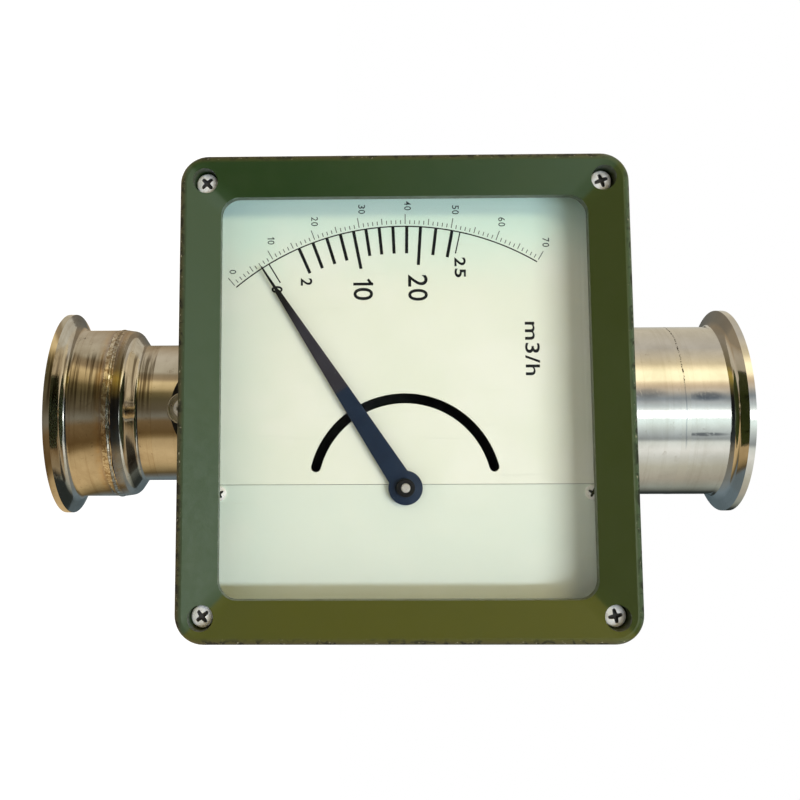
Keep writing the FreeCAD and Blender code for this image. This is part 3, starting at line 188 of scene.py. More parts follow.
class Wire:
    """One output in a tree of nodes. Arithmetic on it adds Math nodes."""

    def __init__(self, finish, socket):
        self.finish = finish
        self.socket = socket

    def math(self, operation, *values):
        return self.finish.node("ShaderNodeMath", {"operation": operation}, dict(enumerate(values)))

    def __add__(self, other):
        return self.math("ADD", self, other)

    def __sub__(self, other):
        return self.math("SUBTRACT", self, other)

    def __rsub__(self, other):
        return self.math("SUBTRACT", other, self)

    def __mul__(self, other):
        return self.math("MULTIPLY", self, other)

    def __truediv__(self, other):
        return self.math("DIVIDE", self, other)

    __radd__ = __add__
    __rmul__ = __mul__

    def low(self, other):
        return self.math("MINIMUM", self, other)

    def high(self, other):
        return self.math("MAXIMUM", self, other)

    def size(self):
        return self.math("ABSOLUTE", self)

    def ramp(self, start, end):
        """0 up to start, 1 from end, smooth between."""
        settings = {"interpolation_type": "SMOOTHSTEP"}
        return self.finish.node("ShaderNodeMapRange", settings, {0: self, 1: start, 2: end, 3: 0.0, 4: 1.0})


class Finish:
    """A tree of nodes under construction, for a material or the world."""

    def __init__(self, owner, output="ShaderNodeOutputMaterial"):
        owner.use_nodes = True
        self.owner = owner
        self.tree = owner.node_tree
        self.tree.nodes.clear()
        self.output = self.tree.nodes.new(output)

    def node(self, kind, settings=None, sockets=None, output=0):
        """Adds one node: its settings first, then the values or links of its sockets."""
        made = self.tree.nodes.new(kind)
        for name, value in (settings or {}).items():
            if name == "stops":
                elements = made.color_ramp.elements
                while len(elements) < len(value):
                    elements.new(1.0)
                for element, (position, colour) in zip(elements, value):
                    element.position = position
                    element.color = colour
            else:
                setattr(made, name, value)
        for name, value in (sockets or {}).items():
            if isinstance(value, Wire):
                self.tree.links.new(value.socket, made.inputs[name])
            else:
                made.inputs[name].default_value = value
        return Wire(self, made.outputs[output])

    def end(self, shader):
        self.tree.links.new(shader.socket, self.output.inputs["Surface"])
        return self.owner

    def place_mm(self):
        """Object coordinates in millimetres."""
        place = self.node("ShaderNodeTexCoord", output="Object")
        return self.node("ShaderNodeVectorMath", {"operation": "SCALE"}, {0: place, "Scale": 1 / MM})

    def axes(self, vector):
        return [self.node("ShaderNodeSeparateXYZ", None, {0: vector}, output=name) for name in "XYZ"]

    def stretched(self, vector, centre, stretch):
        """Coordinates about a centre, in millimetres, stretched along each axis."""
        moved = self.node("ShaderNodeVectorMath", {"operation": "SUBTRACT"}, {0: vector, 1: centre})
        return self.node("ShaderNodeVectorMath", {"operation": "MULTIPLY"}, {0: moved, 1: stretch})

    def distance(self, vector, centre):
        sockets = {0: vector, 1: centre}
        return self.node("ShaderNodeVectorMath", {"operation": "DISTANCE"}, sockets, output="Value")

    def spot(self, vector, centre, radius_mm, softness):
        """1 at a centre in millimetres, and 0 beyond the radius."""
        return 1 - self.distance(vector, centre).ramp(radius_mm * (1 - softness), radius_mm)

    def grain(self, vector, size_mm, detail=3.0, rough=0.55, twist=0.0):
        sockets = {"Vector": vector, "Scale": 1 / size_mm, "Detail": detail, "Roughness": rough,
                   "Distortion": twist}
        return self.node("ShaderNodeTexNoise", None, sockets)

    def mix(self, factor, first, second):
        """Colour from first to second."""
        return self.node("ShaderNodeMix", {"data_type": "RGBA"}, {0: factor, 6: first, 7: second}, output=2)

    def bump(self, height, depth_mm):
        sockets = {"Height": height, "Distance": depth_mm * MM, "Strength": 1.0}
        return self.node("ShaderNodeBump", None, sockets)

    def principled(self, **sockets):
        named = {name.replace("_", " "): value for name, value in sockets.items()}
        return self.node("ShaderNodeBsdfPrincipled", None, named)


def new_finish(name):
    return Finish(bpy.data.materials.new(name))


def rgb(red, green, blue):
    """Linear colour from display values 0 to 255."""
    def linear(value):
        share = value / 255
        return share / 12.92 if share <= 0.04045 else ((share + 0.055) / 1.055) ** 2.4
    return (linear(red), linear(green), linear(blue), 1.0)


# Finishes

def brushed(finish, place):
    """Fine and coarse rings round the pipe, as left by turning and polishing."""
    fine = finish.grain(finish.stretched(place, (0, 0, 0), (0.04, 0.04, 3.2)), 1.0, 4.0, 0.7)
    coarse = finish.grain(finish.stretched(place, (0, 0, 0), (0.015, 0.015, 0.55)), 1.0, 3.0, 0.6)
    return fine, coarse


def inlet_steel():
    """Welded and brushed steel: heat colours beside the weld, rust and dirt in spots. Its warmer, darker tone
    is partly a painted warm reflection, and dark lines painted across the highlight band stand in for a
    streaky reflection.
    """
    finish = new_finish("inlet_steel")
    place = finish.place_mm()
    x, y, z = finish.axes(place)
    fine, coarse = brushed(finish, place)
    patches = finish.grain(place, 11.0, 4.0, 0.6, 0.4)
    stains = finish.grain(place, 2.6, 5.0, 0.7, 0.8)
    # The warm base and brown rings, darker and warmer than the outlet steel, are partly a painted warm
    # reflection.
    colour = finish.mix(patches.ramp(0.3, 0.7), rgb(206, 199, 188), rgb(228, 224, 216))
    colour = finish.mix(coarse.ramp(0.5, 0.72) * 0.45, colour, rgb(176, 162, 140))
    lines = finish.grain(finish.stretched(place, (0, 0, 0), (0.03, 0.03, 0.9)), 1.0, 2.0, 0.5)
    painted_streaks = lines.ramp(0.42, 0.62)
    # Painted reflection: dark lines only in the band towards -X at the front, where the highlight falls.
    highlight_band = x.ramp(-27.0, -22.0) * (1 - x.ramp(-8.0, 4.0)) * (1 - y.ramp(-12.0, 0.0))
    colour = finish.mix(painted_streaks * highlight_band * 0.8, colour, rgb(96, 84, 64))
    from_weld = (z - INLET_WELD_Z / MM).size()
    heat = (1 - from_weld.ramp(2.0, 6.5)) * stains.ramp(0.25, 0.6)
    tint = finish.mix(from_weld.ramp(2.0, 4.2), rgb(156, 134, 128), rgb(214, 178, 118))
    colour = finish.mix(heat * 0.6, colour, tint)
    colour = finish.mix(stains.ramp(0.6, 0.7) * 0.4, colour, rgb(112, 90, 66))
    rust = finish.spot(place, RUST_SPOT, 3.4, 0.8) * stains.ramp(0.35, 0.5)
    colour = finish.mix(rust * 0.9, colour, rgb(150, 84, 30))
    brown = finish.spot(place, BROWN_STAIN, 6.0, 0.8) * stains.ramp(0.3, 0.55)
    colour = finish.mix(brown * 0.7, colour, rgb(86, 56, 30))
    specks = finish.spot(place, DARK_SPECKS, 3.0, 0.6) * finish.grain(place, 0.7, 2.0).ramp(0.58, 0.64)
    colour = finish.mix(specks * 0.9, colour, rgb(30, 26, 22))
    rough = 0.05 + fine * 0.09 + stains.ramp(0.55, 0.75) * 0.12 + rust * 0.3
    bumps = finish.bump(fine + coarse * 0.6 + stains * 0.25, 0.012)
    return finish.end(finish.principled(Base_Color=colour, Metallic=1.0, Roughness=rough, Normal=bumps))


# Marks beside the outlet weld: x, distance past the weld, stretch, strength, colour
OUTLET_SMUDGES = [(11.6, 8.0, (9.0, 0.3, 0.8), 0.8, rgb(96, 98, 104)),
                  (-4.6, 9.0, (3.6, 0.3, 1.0), 0.7, rgb(96, 108, 124)),
                  (-6.0, -16.0, (3.6, 0.3, 0.9), 0.5, rgb(110, 120, 132))]
SMUDGE_Y = -35.0
SMUDGE_RADIUS = 10.0


def outlet_steel():
    """Brighter brushed steel, nearly clean, with a few smudges beside the weld."""
    finish = new_finish("outlet_steel")
    place = finish.place_mm()
    fine, coarse = brushed(finish, place)
    patches = finish.grain(place, 16.0, 4.0, 0.6, 0.4)
    stains = finish.grain(place, 3.0, 5.0, 0.7, 0.8)
    colour = finish.mix(patches.ramp(0.3, 0.7), rgb(218, 215, 209), rgb(234, 232, 228))
    colour = finish.mix(coarse.ramp(0.52, 0.72) * 0.25, colour, rgb(196, 190, 178))
    colour = finish.mix(stains.ramp(0.64, 0.72) * 0.3, colour, rgb(140, 122, 96))
    for spot_x, spot_z, stretch, depth, tone in OUTLET_SMUDGES:
        near = finish.stretched(place, (spot_x, SMUDGE_Y, OUTLET_WELD_Z / MM + spot_z), stretch)
        smudge = finish.spot(near, (0, 0, 0), SMUDGE_RADIUS, 0.7) * stains.ramp(0.3, 0.5)
        colour = finish.mix(smudge * depth, colour, tone)
    rough = 0.05 + fine * 0.07 + stains.ramp(0.6, 0.75) * 0.1
    bumps = finish.bump(fine + coarse * 0.5 + stains * 0.3, 0.008)
    return finish.end(finish.principled(Base_Color=colour, Metallic=1.0, Roughness=rough, Normal=bumps))


def weld_steel():
    """Weld bead: bright lumps with brown scale between them."""
    finish = new_finish("weld_bead")
    place = finish.place_mm()
    lumps = finish.grain(place, 2.0, 4.0, 0.6, 0.6)
    scale = finish.grain(place, 0.7, 3.0)
    colour = finish.mix(lumps.ramp(0.4, 0.6), rgb(178, 160, 134), rgb(240, 234, 222))
    rough = 0.26 - lumps.ramp(0.35, 0.65) * 0.14
    bumps = finish.bump(lumps + scale * 0.3, 0.07)
    return finish.end(finish.principled(Base_Color=colour, Metallic=1.0, Roughness=rough, Normal=bumps))


def seam_steel():
    """Weld ground flush: a thin line that is dark and broken towards -X and pale in the middle."""
    finish = new_finish("ground_weld")
    place = finish.place_mm()
    x, y, z = finish.axes(place)
    fine, coarse = brushed(finish, place)
    wander = finish.grain(place, 9.0, 3.0) - 0.5
    offset = (z - OUTLET_WELD_Z / MM + wander * 1.4).size()
    pits = finish.grain(place, 0.9, 2.0)
    far_side = 1 - x.ramp(-16.0, -4.0)
    line = (1 - offset.ramp(0.12, 0.4)) * pits.ramp(0.4, 0.55) * far_side
    pale = (1 - offset.ramp(0.1, 0.45)) * (1 - far_side) * (1 - x.ramp(15.0, 19.0))
    colour = finish.mix(line, rgb(228, 225, 219), rgb(50, 42, 34))
    colour = finish.mix(pale * 0.5, colour, rgb(160, 166, 172))
    bumps = finish.bump(fine + coarse * 0.5 - line * 3.0, 0.01)
    rough = 0.06 + line * 0.4 + fine * 0.07
    return finish.end(finish.principled(Base_Color=colour, Metallic=1.0, Roughness=rough, Normal=bumps))


def green_paint():
    """Semi-gloss paint on castings, worn through along the outer edges. Each strip of the cover's frame has
    its own painted shade, as light falls on it, and the rim towards +Z a painted teal sheen.
    """
    finish = new_finish("green_paint")
    place = finish.place_mm()
    x, y, z = finish.axes(place)
    along = z - CENTRE_Z / MM
    half_x = (COVER_HIGH.x - COVER_LOW.x) / 2 / MM
    half_z = (COVER_HIGH.z - COVER_LOW.z) / 2 / MM
    in_x = half_x - x.size()
    in_z = half_z - along.size()
    upright = (in_x - in_z).ramp(-1.0, 1.0)
    from_front = y - COVER_LOW.y / MM
    edge = (1 - in_x.low(in_z).ramp(0.4, 2.6)) * (1 - from_front.ramp(0.8, 4.0))
    tone = finish.grain(place, 30.0, 3.0)
    chips = finish.grain(place, 3.4, 5.0, 0.6, 0.5)
    specks = finish.grain(place, 0.9, 3.0)
    skin = finish.grain(place, 0.9, 2.0)
    # Painted shade: each strip of the frame gets its own tone as light falls on it: dark green towards -X,
    # olive towards +X, bluish towards -Z, dark olive towards +Z.
    far = finish.mix(along.ramp(-50.0, 70.0), rgb(33, 56, 21), rgb(52, 69, 44))
    painted_shade_x_strips = finish.mix(x.ramp(-60.0, 60.0), far, rgb(74, 76, 24))
    painted_shade_z_strips = finish.mix(along.ramp(-40.0, 40.0), rgb(56, 73, 50), rgb(52, 62, 20))
    colour = finish.mix(upright, painted_shade_x_strips, painted_shade_z_strips)
    colour = finish.mix(tone.ramp(0.35, 0.7) * 0.2, colour, rgb(60, 72, 38))
    # Outer rim: worn and dirty brown, with a painted teal sheen towards +Z.
    rim = finish.mix(along.ramp(60.0, 70.0), rgb(74, 66, 42), rgb(74, 92, 74))
    colour = finish.mix(edge * 0.75, colour, rim)
    worn = edge * chips.ramp(0.52, 0.57)
    colour = finish.mix(worn * 0.85, colour, rgb(26, 28, 22))
    bare = edge * specks.ramp(0.65, 0.69)
    colour = finish.mix(bare * 0.8, colour, rgb(168, 160, 136))
    colour = finish.mix(specks.ramp(0.8, 0.82) * 0.5, colour, rgb(160, 164, 130))
    rough = 0.34 + chips.ramp(0.3, 0.7) * 0.1 + worn * 0.25
    bumps = finish.bump(skin * 0.3 - worn, 0.04)
    return finish.end(finish.principled(Base_Color=colour, Roughness=rough, Normal=bumps,
                                        Coat_Weight=0.1, Coat_Roughness=0.25))


def dial_enamel(name, light, dark):
    """Pale enamel with a painted blue-green shade and reflection along its far edge and down one side."""
    finish = new_finish(name)
    place = finish.place_mm()
    x, y, z = finish.axes(place)
    along = z - CENTRE_Z / MM
    clouds = finish.grain(place, 26.0, 3.0, 0.5, 0.3)
    # Painted shade and reflection: a blue-green tint towards -X and down the -Z side.
    painted_top_shade = 1 - (x + clouds * 16.0).ramp(-60.0, -26.0)
    side = 1 - (along + clouds * 24.0).ramp(-58.0, -24.0)
    tone = finish.mix(clouds.ramp(0.35, 0.7), light, dark)
    tone = finish.mix(side * 0.5, tone, rgb(206, 228, 214))
    tone = finish.mix(painted_top_shade * 0.8, tone, rgb(200, 234, 220))
    rub = finish.grain(finish.stretched(place, (0, 0, 0), (1.0, 1.0, 0.06)), 3.0, 3.0)
    tone = finish.mix(rub.ramp(0.6, 0.75) * 0.18, tone, rgb(196, 202, 184))
    dust = finish.grain(place, 0.4, 2.0)
    tone = finish.mix(dust.ramp(0.76, 0.8) * 0.5, tone, rgb(120, 112, 92))
    bumps = finish.bump(dust, 0.01)
    return finish.end(finish.principled(Base_Color=tone, Roughness=0.5, Normal=bumps))


def print_ink(name, colour):
    finish = new_finish(name)
    place = finish.place_mm()
    wear = finish.grain(place, 0.5, 3.0)
    worn = tuple(min(1.0, part + 0.03) for part in colour[:3]) + (1.0,)
    tone = finish.mix(wear.ramp(0.55, 0.8), colour, worn)
    return finish.end(finish.principled(Base_Color=tone, Roughness=0.55 + wear * 0.1))


def pointer_paint():
    """Navy paint near the hub and lighter purple-grey beyond the fold, a painted shade change for a bend that
    the flat pointer doesn't have; darker towards the tip, with dust specks.
    """
    finish = new_finish("pointer_paint")
    place = finish.place_mm()
    reach = finish.distance(place, (PIVOT_X / MM, POINTER_LOW.y / MM, CENTRE_Z / MM))
    clouds = finish.grain(place, 5.0, 3.0)
    specks = finish.grain(place, 0.5, 2.0)
    # Painted shade: darker on the hub's side of the fold and lighter beyond it, for a bend that the flat
    # pointer doesn't have.
    inner = finish.mix(clouds, rgb(18, 32, 52), rgb(34, 50, 72))
    outer = finish.mix(clouds, rgb(42, 40, 48), rgb(60, 58, 66))
    colour = finish.mix(reach.ramp(POINTER_FOLD - 0.3, POINTER_FOLD + 0.3), inner, outer)
    colour = finish.mix(reach.ramp(60.0, 76.0), colour, rgb(14, 14, 17))
    colour = finish.mix(specks.ramp(0.73, 0.76) * 0.6, colour, rgb(120, 126, 130))
    return finish.end(finish.principled(Base_Color=colour, Roughness=0.38 + clouds * 0.1))


def plain_metal(name, first, second, roughness, grain_mm, metallic=1.0):
    """Metal or painted metal with cloudy tone and a fine grain."""
    finish = new_finish(name)
    place = finish.place_mm()
    clouds = finish.grain(place, grain_mm * 8, 3.0)
    grain = finish.grain(place, grain_mm, 3.0, 0.6)
    colour = finish.mix(clouds.ramp(0.3, 0.7), first, second)
    rough = roughness + grain * 0.15
    bumps = finish.bump(grain, 0.02)
    return finish.end(finish.principled(Base_Color=colour, Metallic=metallic, Roughness=rough, Normal=bumps))


def screw_steel(name, centre_x, centre_z, fold_x, top_y, radius, crown):
    """Pan heads, near-white as a partly painted highlight, with painted shade in their cross recesses. The
    centre is the offset of one head, in millimetres; the others are its mirror images across the housing's
    middle."""
    finish = new_finish(name)
    place = finish.place_mm()
    x, y, z = finish.axes(place)
    off_x = (x.size() if fold_x else x) - centre_x
    off_z = (z - CENTRE_Z / MM).size() - centre_z
    squared = off_x * off_x + off_z * off_z
    away = squared.math("SQRT", squared)
    depth = y - top_y - squared * (crown / radius ** 2)
    # Painted shade deep in the cross recesses, found from the depth below the dome.
    shaded_recess = depth.ramp(0.06 * radius, 0.14 * radius) * (1 - away.ramp(radius * 0.74, radius * 0.8))
    rubs = finish.grain(place, 1.5, 3.0, 0.5, 0.4)
    dirt = finish.grain(place, 0.7, 3.0)
    # Near-white base: partly a painted highlight for the heads' shine.
    colour = finish.mix(rubs.ramp(0.35, 0.6), rgb(232, 229, 220), rgb(252, 251, 247))
    colour = finish.mix(dirt.ramp(0.62, 0.7) * 0.5, colour, rgb(120, 92, 62))
    colour = finish.mix(shaded_recess * 0.94, colour, rgb(22, 18, 16))
    rough = 0.28 + rubs * 0.14 + shaded_recess * 0.4
    bumps = finish.bump(rubs, 0.02)
    return finish.end(finish.principled(Base_Color=colour, Metallic=0.15, Roughness=rough, Normal=bumps))


def dark_carrier():
    """Near-black plate behind the dial, dark as a painted shade for what the slot shows, with a painted
    bluish sheen where the slot's top shows it.
    """
    finish = new_finish("dark_carrier")
    place = finish.place_mm()
    grain = finish.grain(place, 0.8, 3.0)
    clouds = finish.grain(place, 6.0, 3.0)
    # Near-black: a painted shade for the dark seen through the slot.
    colour = finish.mix(clouds, rgb(8, 12, 15), rgb(20, 27, 31))
    # Painted bluish sheen near the slot's top.
    sheen = finish.spot(place, (SLOT_TOP_X, DIAL_Y / MM, CENTRE_Z / MM), 17.0, 0.8)
    colour = finish.mix(sheen * clouds.ramp(0.3, 0.6), colour, rgb(66, 90, 102))
    return finish.end(finish.principled(Base_Color=colour, Roughness=0.5, Normal=finish.bump(grain, 0.02)))


def soft_plastic(name, first, second, roughness):
    finish = new_finish(name)
    place = finish.place_mm()
    clouds = finish.grain(place, 4.0, 3.0)
    grain = finish.grain(place, 0.4, 2.0)
    colour = finish.mix(clouds, first, second)
    bumps = finish.bump(grain, 0.03)
    return finish.end(finish.principled(Base_Color=colour, Roughness=roughness + grain * 0.1, Normal=bumps))


def window_glass():
    """Clear glass: see-through, with a reflection that grows to grazing angles, dust and wipe marks."""
    finish = new_finish("window_glass")
    place = finish.place_mm()
    smears = finish.grain(finish.stretched(place, (0, 0, 0), (0.6, 1.0, 0.12)), 6.0, 4.0, 0.6, 0.5)
    dust = finish.grain(place, 0.6, 2.0)
    mirror = finish.node("ShaderNodeBsdfGlossy", None,
                         {"Color": (0.95, 1.0, 0.98, 1.0), "Roughness": 0.02 + smears.ramp(0.5, 0.8) * 0.12})
    clear = finish.node("ShaderNodeBsdfTransparent", None, {"Color": (1.0, 1.0, 1.0, 1.0)})
    facing = finish.node("ShaderNodeLayerWeight", None, {"Blend": 0.5}, output="Facing")
    amount = facing.math("POWER", facing, 5.0) * 0.9 + dust.ramp(0.78, 0.8) * 0.06 + 0.045
    return finish.end(finish.node("ShaderNodeMixShader", None, {0: amount, 1: clear, 2: mirror}))


# Shapes

def linked_object(mesh_builder, name, material):
    """A new object at the origin from a bmesh, with one material."""
    mesh = bpy.data.meshes.new(name)
    mesh_builder.to_mesh(mesh)
    mesh_builder.free()
    made = bpy.data.objects.new(name, mesh)
    bpy.context.scene.collection.objects.link(made)
    made.data.materials.append(material)
    return made


def object_from(mesh_builder, name, material, body):
    """A finished piece of the part, which rides on its body."""
    made = linked_object(mesh_builder, name, material)
    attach(made, body)
    return made


def smooth_by_angle(made, degrees):
    """Rounded faces shade smoothly, and edges sharper than the angle stay crisp."""
    for polygon in made.data.polygons:
        polygon.use_smooth = True
    made.data.set_sharp_from_angle(angle=math.radians(degrees))


def on_dial(radius, degrees):
    """Point on the dial, in metres: x and z, at a radius from the scale's centre and degrees above -X."""
    angle = math.radians(degrees)
    return (PRINT_CENTRE_X * MM - radius * MM * math.cos(angle), CENTRE_Z + radius * MM * math.sin(angle))


def add_bar(mesh, radius_in, radius_out, degrees, width):
    """Thin closed bar of print along a radius of the scale."""
    middle = on_dial((radius_in + radius_out) / 2, degrees)
    depth = PRINT_THICKNESS * MM
    size = Matrix.Diagonal(((radius_out - radius_in) * MM, depth, width * MM, 1.0))
    turn = Matrix.Rotation(math.radians(degrees), 4, "Y")
    place = Matrix.Translation((middle[0], DIAL_Y - depth / 2, middle[1]))
    bmesh.ops.create_cube(mesh, size=1.0, matrix=place @ turn @ size)


def add_arc(mesh, centre_x, radius, width, start_deg, sweep_deg, steps):
    """Thin closed band of print round a centre on the dial's middle line."""
    depth = PRINT_THICKNESS * MM
    angle = math.radians(start_deg)
    start = (centre_x - radius * math.cos(angle), DIAL_Y - depth / 2, CENTRE_Z + radius * math.sin(angle))
    end = bmesh.ops.create_grid(mesh, x_segments=1, y_segments=1, size=0.5,
                                matrix=Matrix.Translation(start) @ Matrix.Rotation(angle, 4, "Y")
                                @ Matrix.Diagonal((width, depth, 1.0, 1.0)))
    face = end["verts"][0].link_faces[0]
    geometry = [face] + list(face.edges) + list(face.verts)
    bmesh.ops.spin(mesh, geom=geometry, cent=(centre_x, DIAL_Y, CENTRE_Z), axis=(0, 1, 0),
                   angle=math.radians(sweep_deg), steps=steps)


def scale_marks():
    """The fine outer scale, just clear of its arc."""
    fine = bmesh.new()
    for division in range(DIVISIONS + 1):
        step = next(step for step in (10, 5, 1) if division % step == 0)
        start = SCALE_RADIUS + DIVISION_GAP
        degrees = ARC_START_DEG + division * DIVISION_DEG
        add_bar(fine, start, start + DIVISION_LENGTHS[step], degrees, DIVISION_WIDTH)
    object_from(fine, "fine_scale", INK_PALE, "meter_body")


def flow_marks():
    """The arc and the flow scale's ticks inside it."""
    bold = bmesh.new()
    add_arc(bold, PRINT_CENTRE_X * MM, SCALE_RADIUS * MM, ARC_LINE_WIDTH * MM, ARC_START_DEG,
            DIVISION_DEG * DIVISIONS, DIVISIONS * 2)
    for flow, degrees in FLOW_TICKS.items():
        if flow in (0, 25):
            add_bar(bold, FLOW_TICK_THIN_END, SCALE_RADIUS, degrees, FLOW_TICK_THIN_WIDTH)
        else:
            end = FLOW_TICK_LONG_END if flow % 10 == 0 else FLOW_TICK_END
            add_bar(bold, end, SCALE_RADIUS, degrees, FLOW_TICK_WIDTH)
    bmesh.ops.recalc_face_normals(bold, faces=bold.faces)
    object_from(bold, "flow_scale", INK_BLACK, "meter_body")


def text_mesh(name, text, centre, height_mm, width_mm, weight_mm, spacing=1.0):
    """Upright print on the dial: height_mm is the height of its digits, width_mm that of the whole text."""
    curve = bpy.data.curves.new(name + "_outline", "FONT")
    curve.body = text
    curve.size = height_mm / DIGIT_HEIGHT
    curve.space_character = spacing
    curve.offset = weight_mm
    curve.extrude = PRINT_THICKNESS / 2
    curve.resolution_u = 4
    outline = bpy.data.objects.new(name + "_outline", curve)
    bpy.context.scene.collection.objects.link(outline)
    mesh = bpy.data.meshes.new_from_object(outline.evaluated_get(bpy.context.evaluated_depsgraph_get()))
    bpy.data.objects.remove(outline)
    bpy.data.curves.remove(curve)
    depth = PRINT_THICKNESS * MM
    place = Matrix.Translation((centre[0], DIAL_Y - depth / 2, centre[1]))
    stand = Matrix.Rotation(math.radians(90), 4, "X")
    low, high = [[pick(v.co[axis] for v in mesh.vertices) for axis in (0, 1)] for pick in (min, max)]
    centred = Matrix.Translation((-(low[0] + high[0]) / 2, -(low[1] + high[1]) / 2, 0.0))
    size = Matrix.Diagonal((width_mm * MM / (high[0] - low[0]), MM, MM, 1.0))
    mesh.transform(place @ stand @ size @ centred)
    return mesh


def add_mesh(builder, mesh):
    builder.from_mesh(mesh)
    bpy.data.meshes.remove(mesh)


def add_stroke(builder, start, end, width):
    """Straight stroke of print between two points (x, z), in metres."""
    along = Vector((end[0] - start[0], 0.0, end[1] - start[1]))
    depth = PRINT_THICKNESS * MM
    middle = Matrix.Translation(((start[0] + end[0]) / 2, DIAL_Y - depth / 2, (start[1] + end[1]) / 2))
    turn = Matrix.Rotation(-math.atan2(along.z, along.x), 4, "Y")
    bmesh.ops.create_cube(builder, size=1.0,
                          matrix=middle @ turn @ Matrix.Diagonal((along.length, depth, width, 1.0)))


def print_number(name, text, centre, height_mm, digit_mm, gap_mm, weight_mm, material):
    """Upright number, one digit at a time. The figure one is a stem with a flag."""
    builder = bmesh.new()
    widths = [digit_mm * (ONE_SHARE if digit == "1" else 1.0) for digit in text]
    left = -(sum(widths) + gap_mm * (len(text) - 1)) / 2
    stroke = height_mm * STROKE_SHARE
    for digit, width in zip(text, widths):
        middle = centre[0] + (left + width / 2) * MM
        if digit == "1":
            stem = middle + (width / 2 - stroke / 2) * MM
            top = centre[1] + height_mm / 2 * MM
            add_stroke(builder, (stem, top - height_mm * MM), (stem, top), stroke * MM)
            flag = (stem - FLAG_REACH * height_mm * MM, top - FLAG_DROP * height_mm * MM)
            add_stroke(builder, flag, (stem, top - stroke * FLAG_TOP * MM), stroke * FLAG_WIDTH * MM)
        else:
            add_mesh(builder, text_mesh(name, digit, (middle, centre[1]), height_mm, width, weight_mm))
        left += width + gap_mm
    bmesh.ops.remove_doubles(builder, verts=builder.verts, dist=PRINT_MERGE * MM)
    object_from(builder, name, material, "meter_body")


def scale_numbers():
    for number, (x, z) in FINE_NUMBERS.items():
        text = str(number)
        print_number("fine_number_" + text, text, (x * MM, CENTRE_Z + z * MM), FINE_NUMBER_HEIGHT,
                     FINE_DIGIT_WIDTH, FINE_DIGIT_GAP, FINE_WEIGHT, INK_GREY)
    for text, (x, z, height, width) in FLOW_NUMBERS.items():
        weight = BIG_WEIGHT if height > BIG_DIGIT else SMALL_WEIGHT
        print_number("flow_number_" + text, text, (x * MM, CENTRE_Z + z * MM), height, width,
                     FLOW_DIGIT_GAP, weight, INK_BLACK)
    x, z, height, width = UNIT_PLACE
    unit = bmesh.new()
    add_mesh(unit, text_mesh("flow_unit", "m3/h", (x * MM, CENTRE_Z + z * MM), height, width, UNIT_WEIGHT,
                             UNIT_SPACING))
    bmesh.ops.remove_doubles(unit, verts=unit.verts, dist=PRINT_MERGE * MM)
    object_from(unit, "flow_unit", INK_BLACK, "meter_body")


def painted_pointer():
    """Flat tapered pointer with a round hub and a fine needle, at its rest angle. Its outline narrows at the
    fold's place, but it is not bent.
    """
    hub = POINTER_HIGH.x - PIVOT_X
    reach = Vector((POINTER_LOW.x - PIVOT_X, 0.0, POINTER_LOW.z - CENTRE_Z))
    length = reach.length
    half_root = POINTER_ROOT_WIDTH / 2 * MM
    opening = math.asin(half_root / hub)
    pointer = bmesh.new()
    root = pointer.verts.new((hub * math.cos(opening), half_root, 0.0))
    bmesh.ops.spin(pointer, geom=[root], cent=(0, 0, 0), axis=(0, 0, 1),
                   angle=2 * math.pi - 2 * opening, steps=40)
    pointer.verts.ensure_lookup_table()
    other_root = pointer.verts[-1]
    stations = [(POINTER_FOLD * MM, POINTER_FOLD_WIDTH), (length - NEEDLE_ROOT_BACK * MM, NEEDLE_ROOT_WIDTH),
                (length - NEEDLE_BACK * MM, NEEDLE_WIDTH), (length, NEEDLE_TIP_WIDTH)]
    near = [pointer.verts.new((s, width / 2 * MM, 0.0)) for s, width in stations]
    far = [pointer.verts.new((s, -width / 2 * MM, 0.0)) for s, width in reversed(stations)]
    chain = [root] + near + far + [other_root]
    for a, b in zip(chain, chain[1:]):
        pointer.edges.new((a, b))
    bmesh.ops.contextual_create(pointer, geom=list(pointer.edges))
    depth = POINTER_HIGH.y - POINTER_LOW.y
    grown = bmesh.ops.extrude_face_region(pointer, geom=list(pointer.faces))
    risen = [item for item in grown["geom"] if isinstance(item, bmesh.types.BMVert)]
    bmesh.ops.translate(pointer, verts=risen, vec=(0.0, 0.0, depth))
    bmesh.ops.recalc_face_normals(pointer, faces=pointer.faces)
    rim = [edge for edge in pointer.edges if all(vert in set(risen) for vert in edge.verts)]
    bmesh.ops.bevel(pointer, geom=rim, offset=POINTER_EDGE_ROUND * MM, offset_type="OFFSET", affect="EDGES",
                    segments=2, profile=0.5, material=-1, clamp_overlap=True)
    along = reach.normalized()
    front = Vector((0.0, -1.0, 0.0))
    turn = Matrix((along, front.cross(along), front)).transposed().to_4x4()
    place = Matrix.Translation((PIVOT_X, POINTER_HIGH.y, CENTRE_Z))
    bmesh.ops.transform(pointer, matrix=place @ turn, verts=pointer.verts)
    made = object_from(pointer, "painted_pointer", POINTER_PAINT, "pointer_train")
    smooth_by_angle(made, 35)
    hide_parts("pointer")


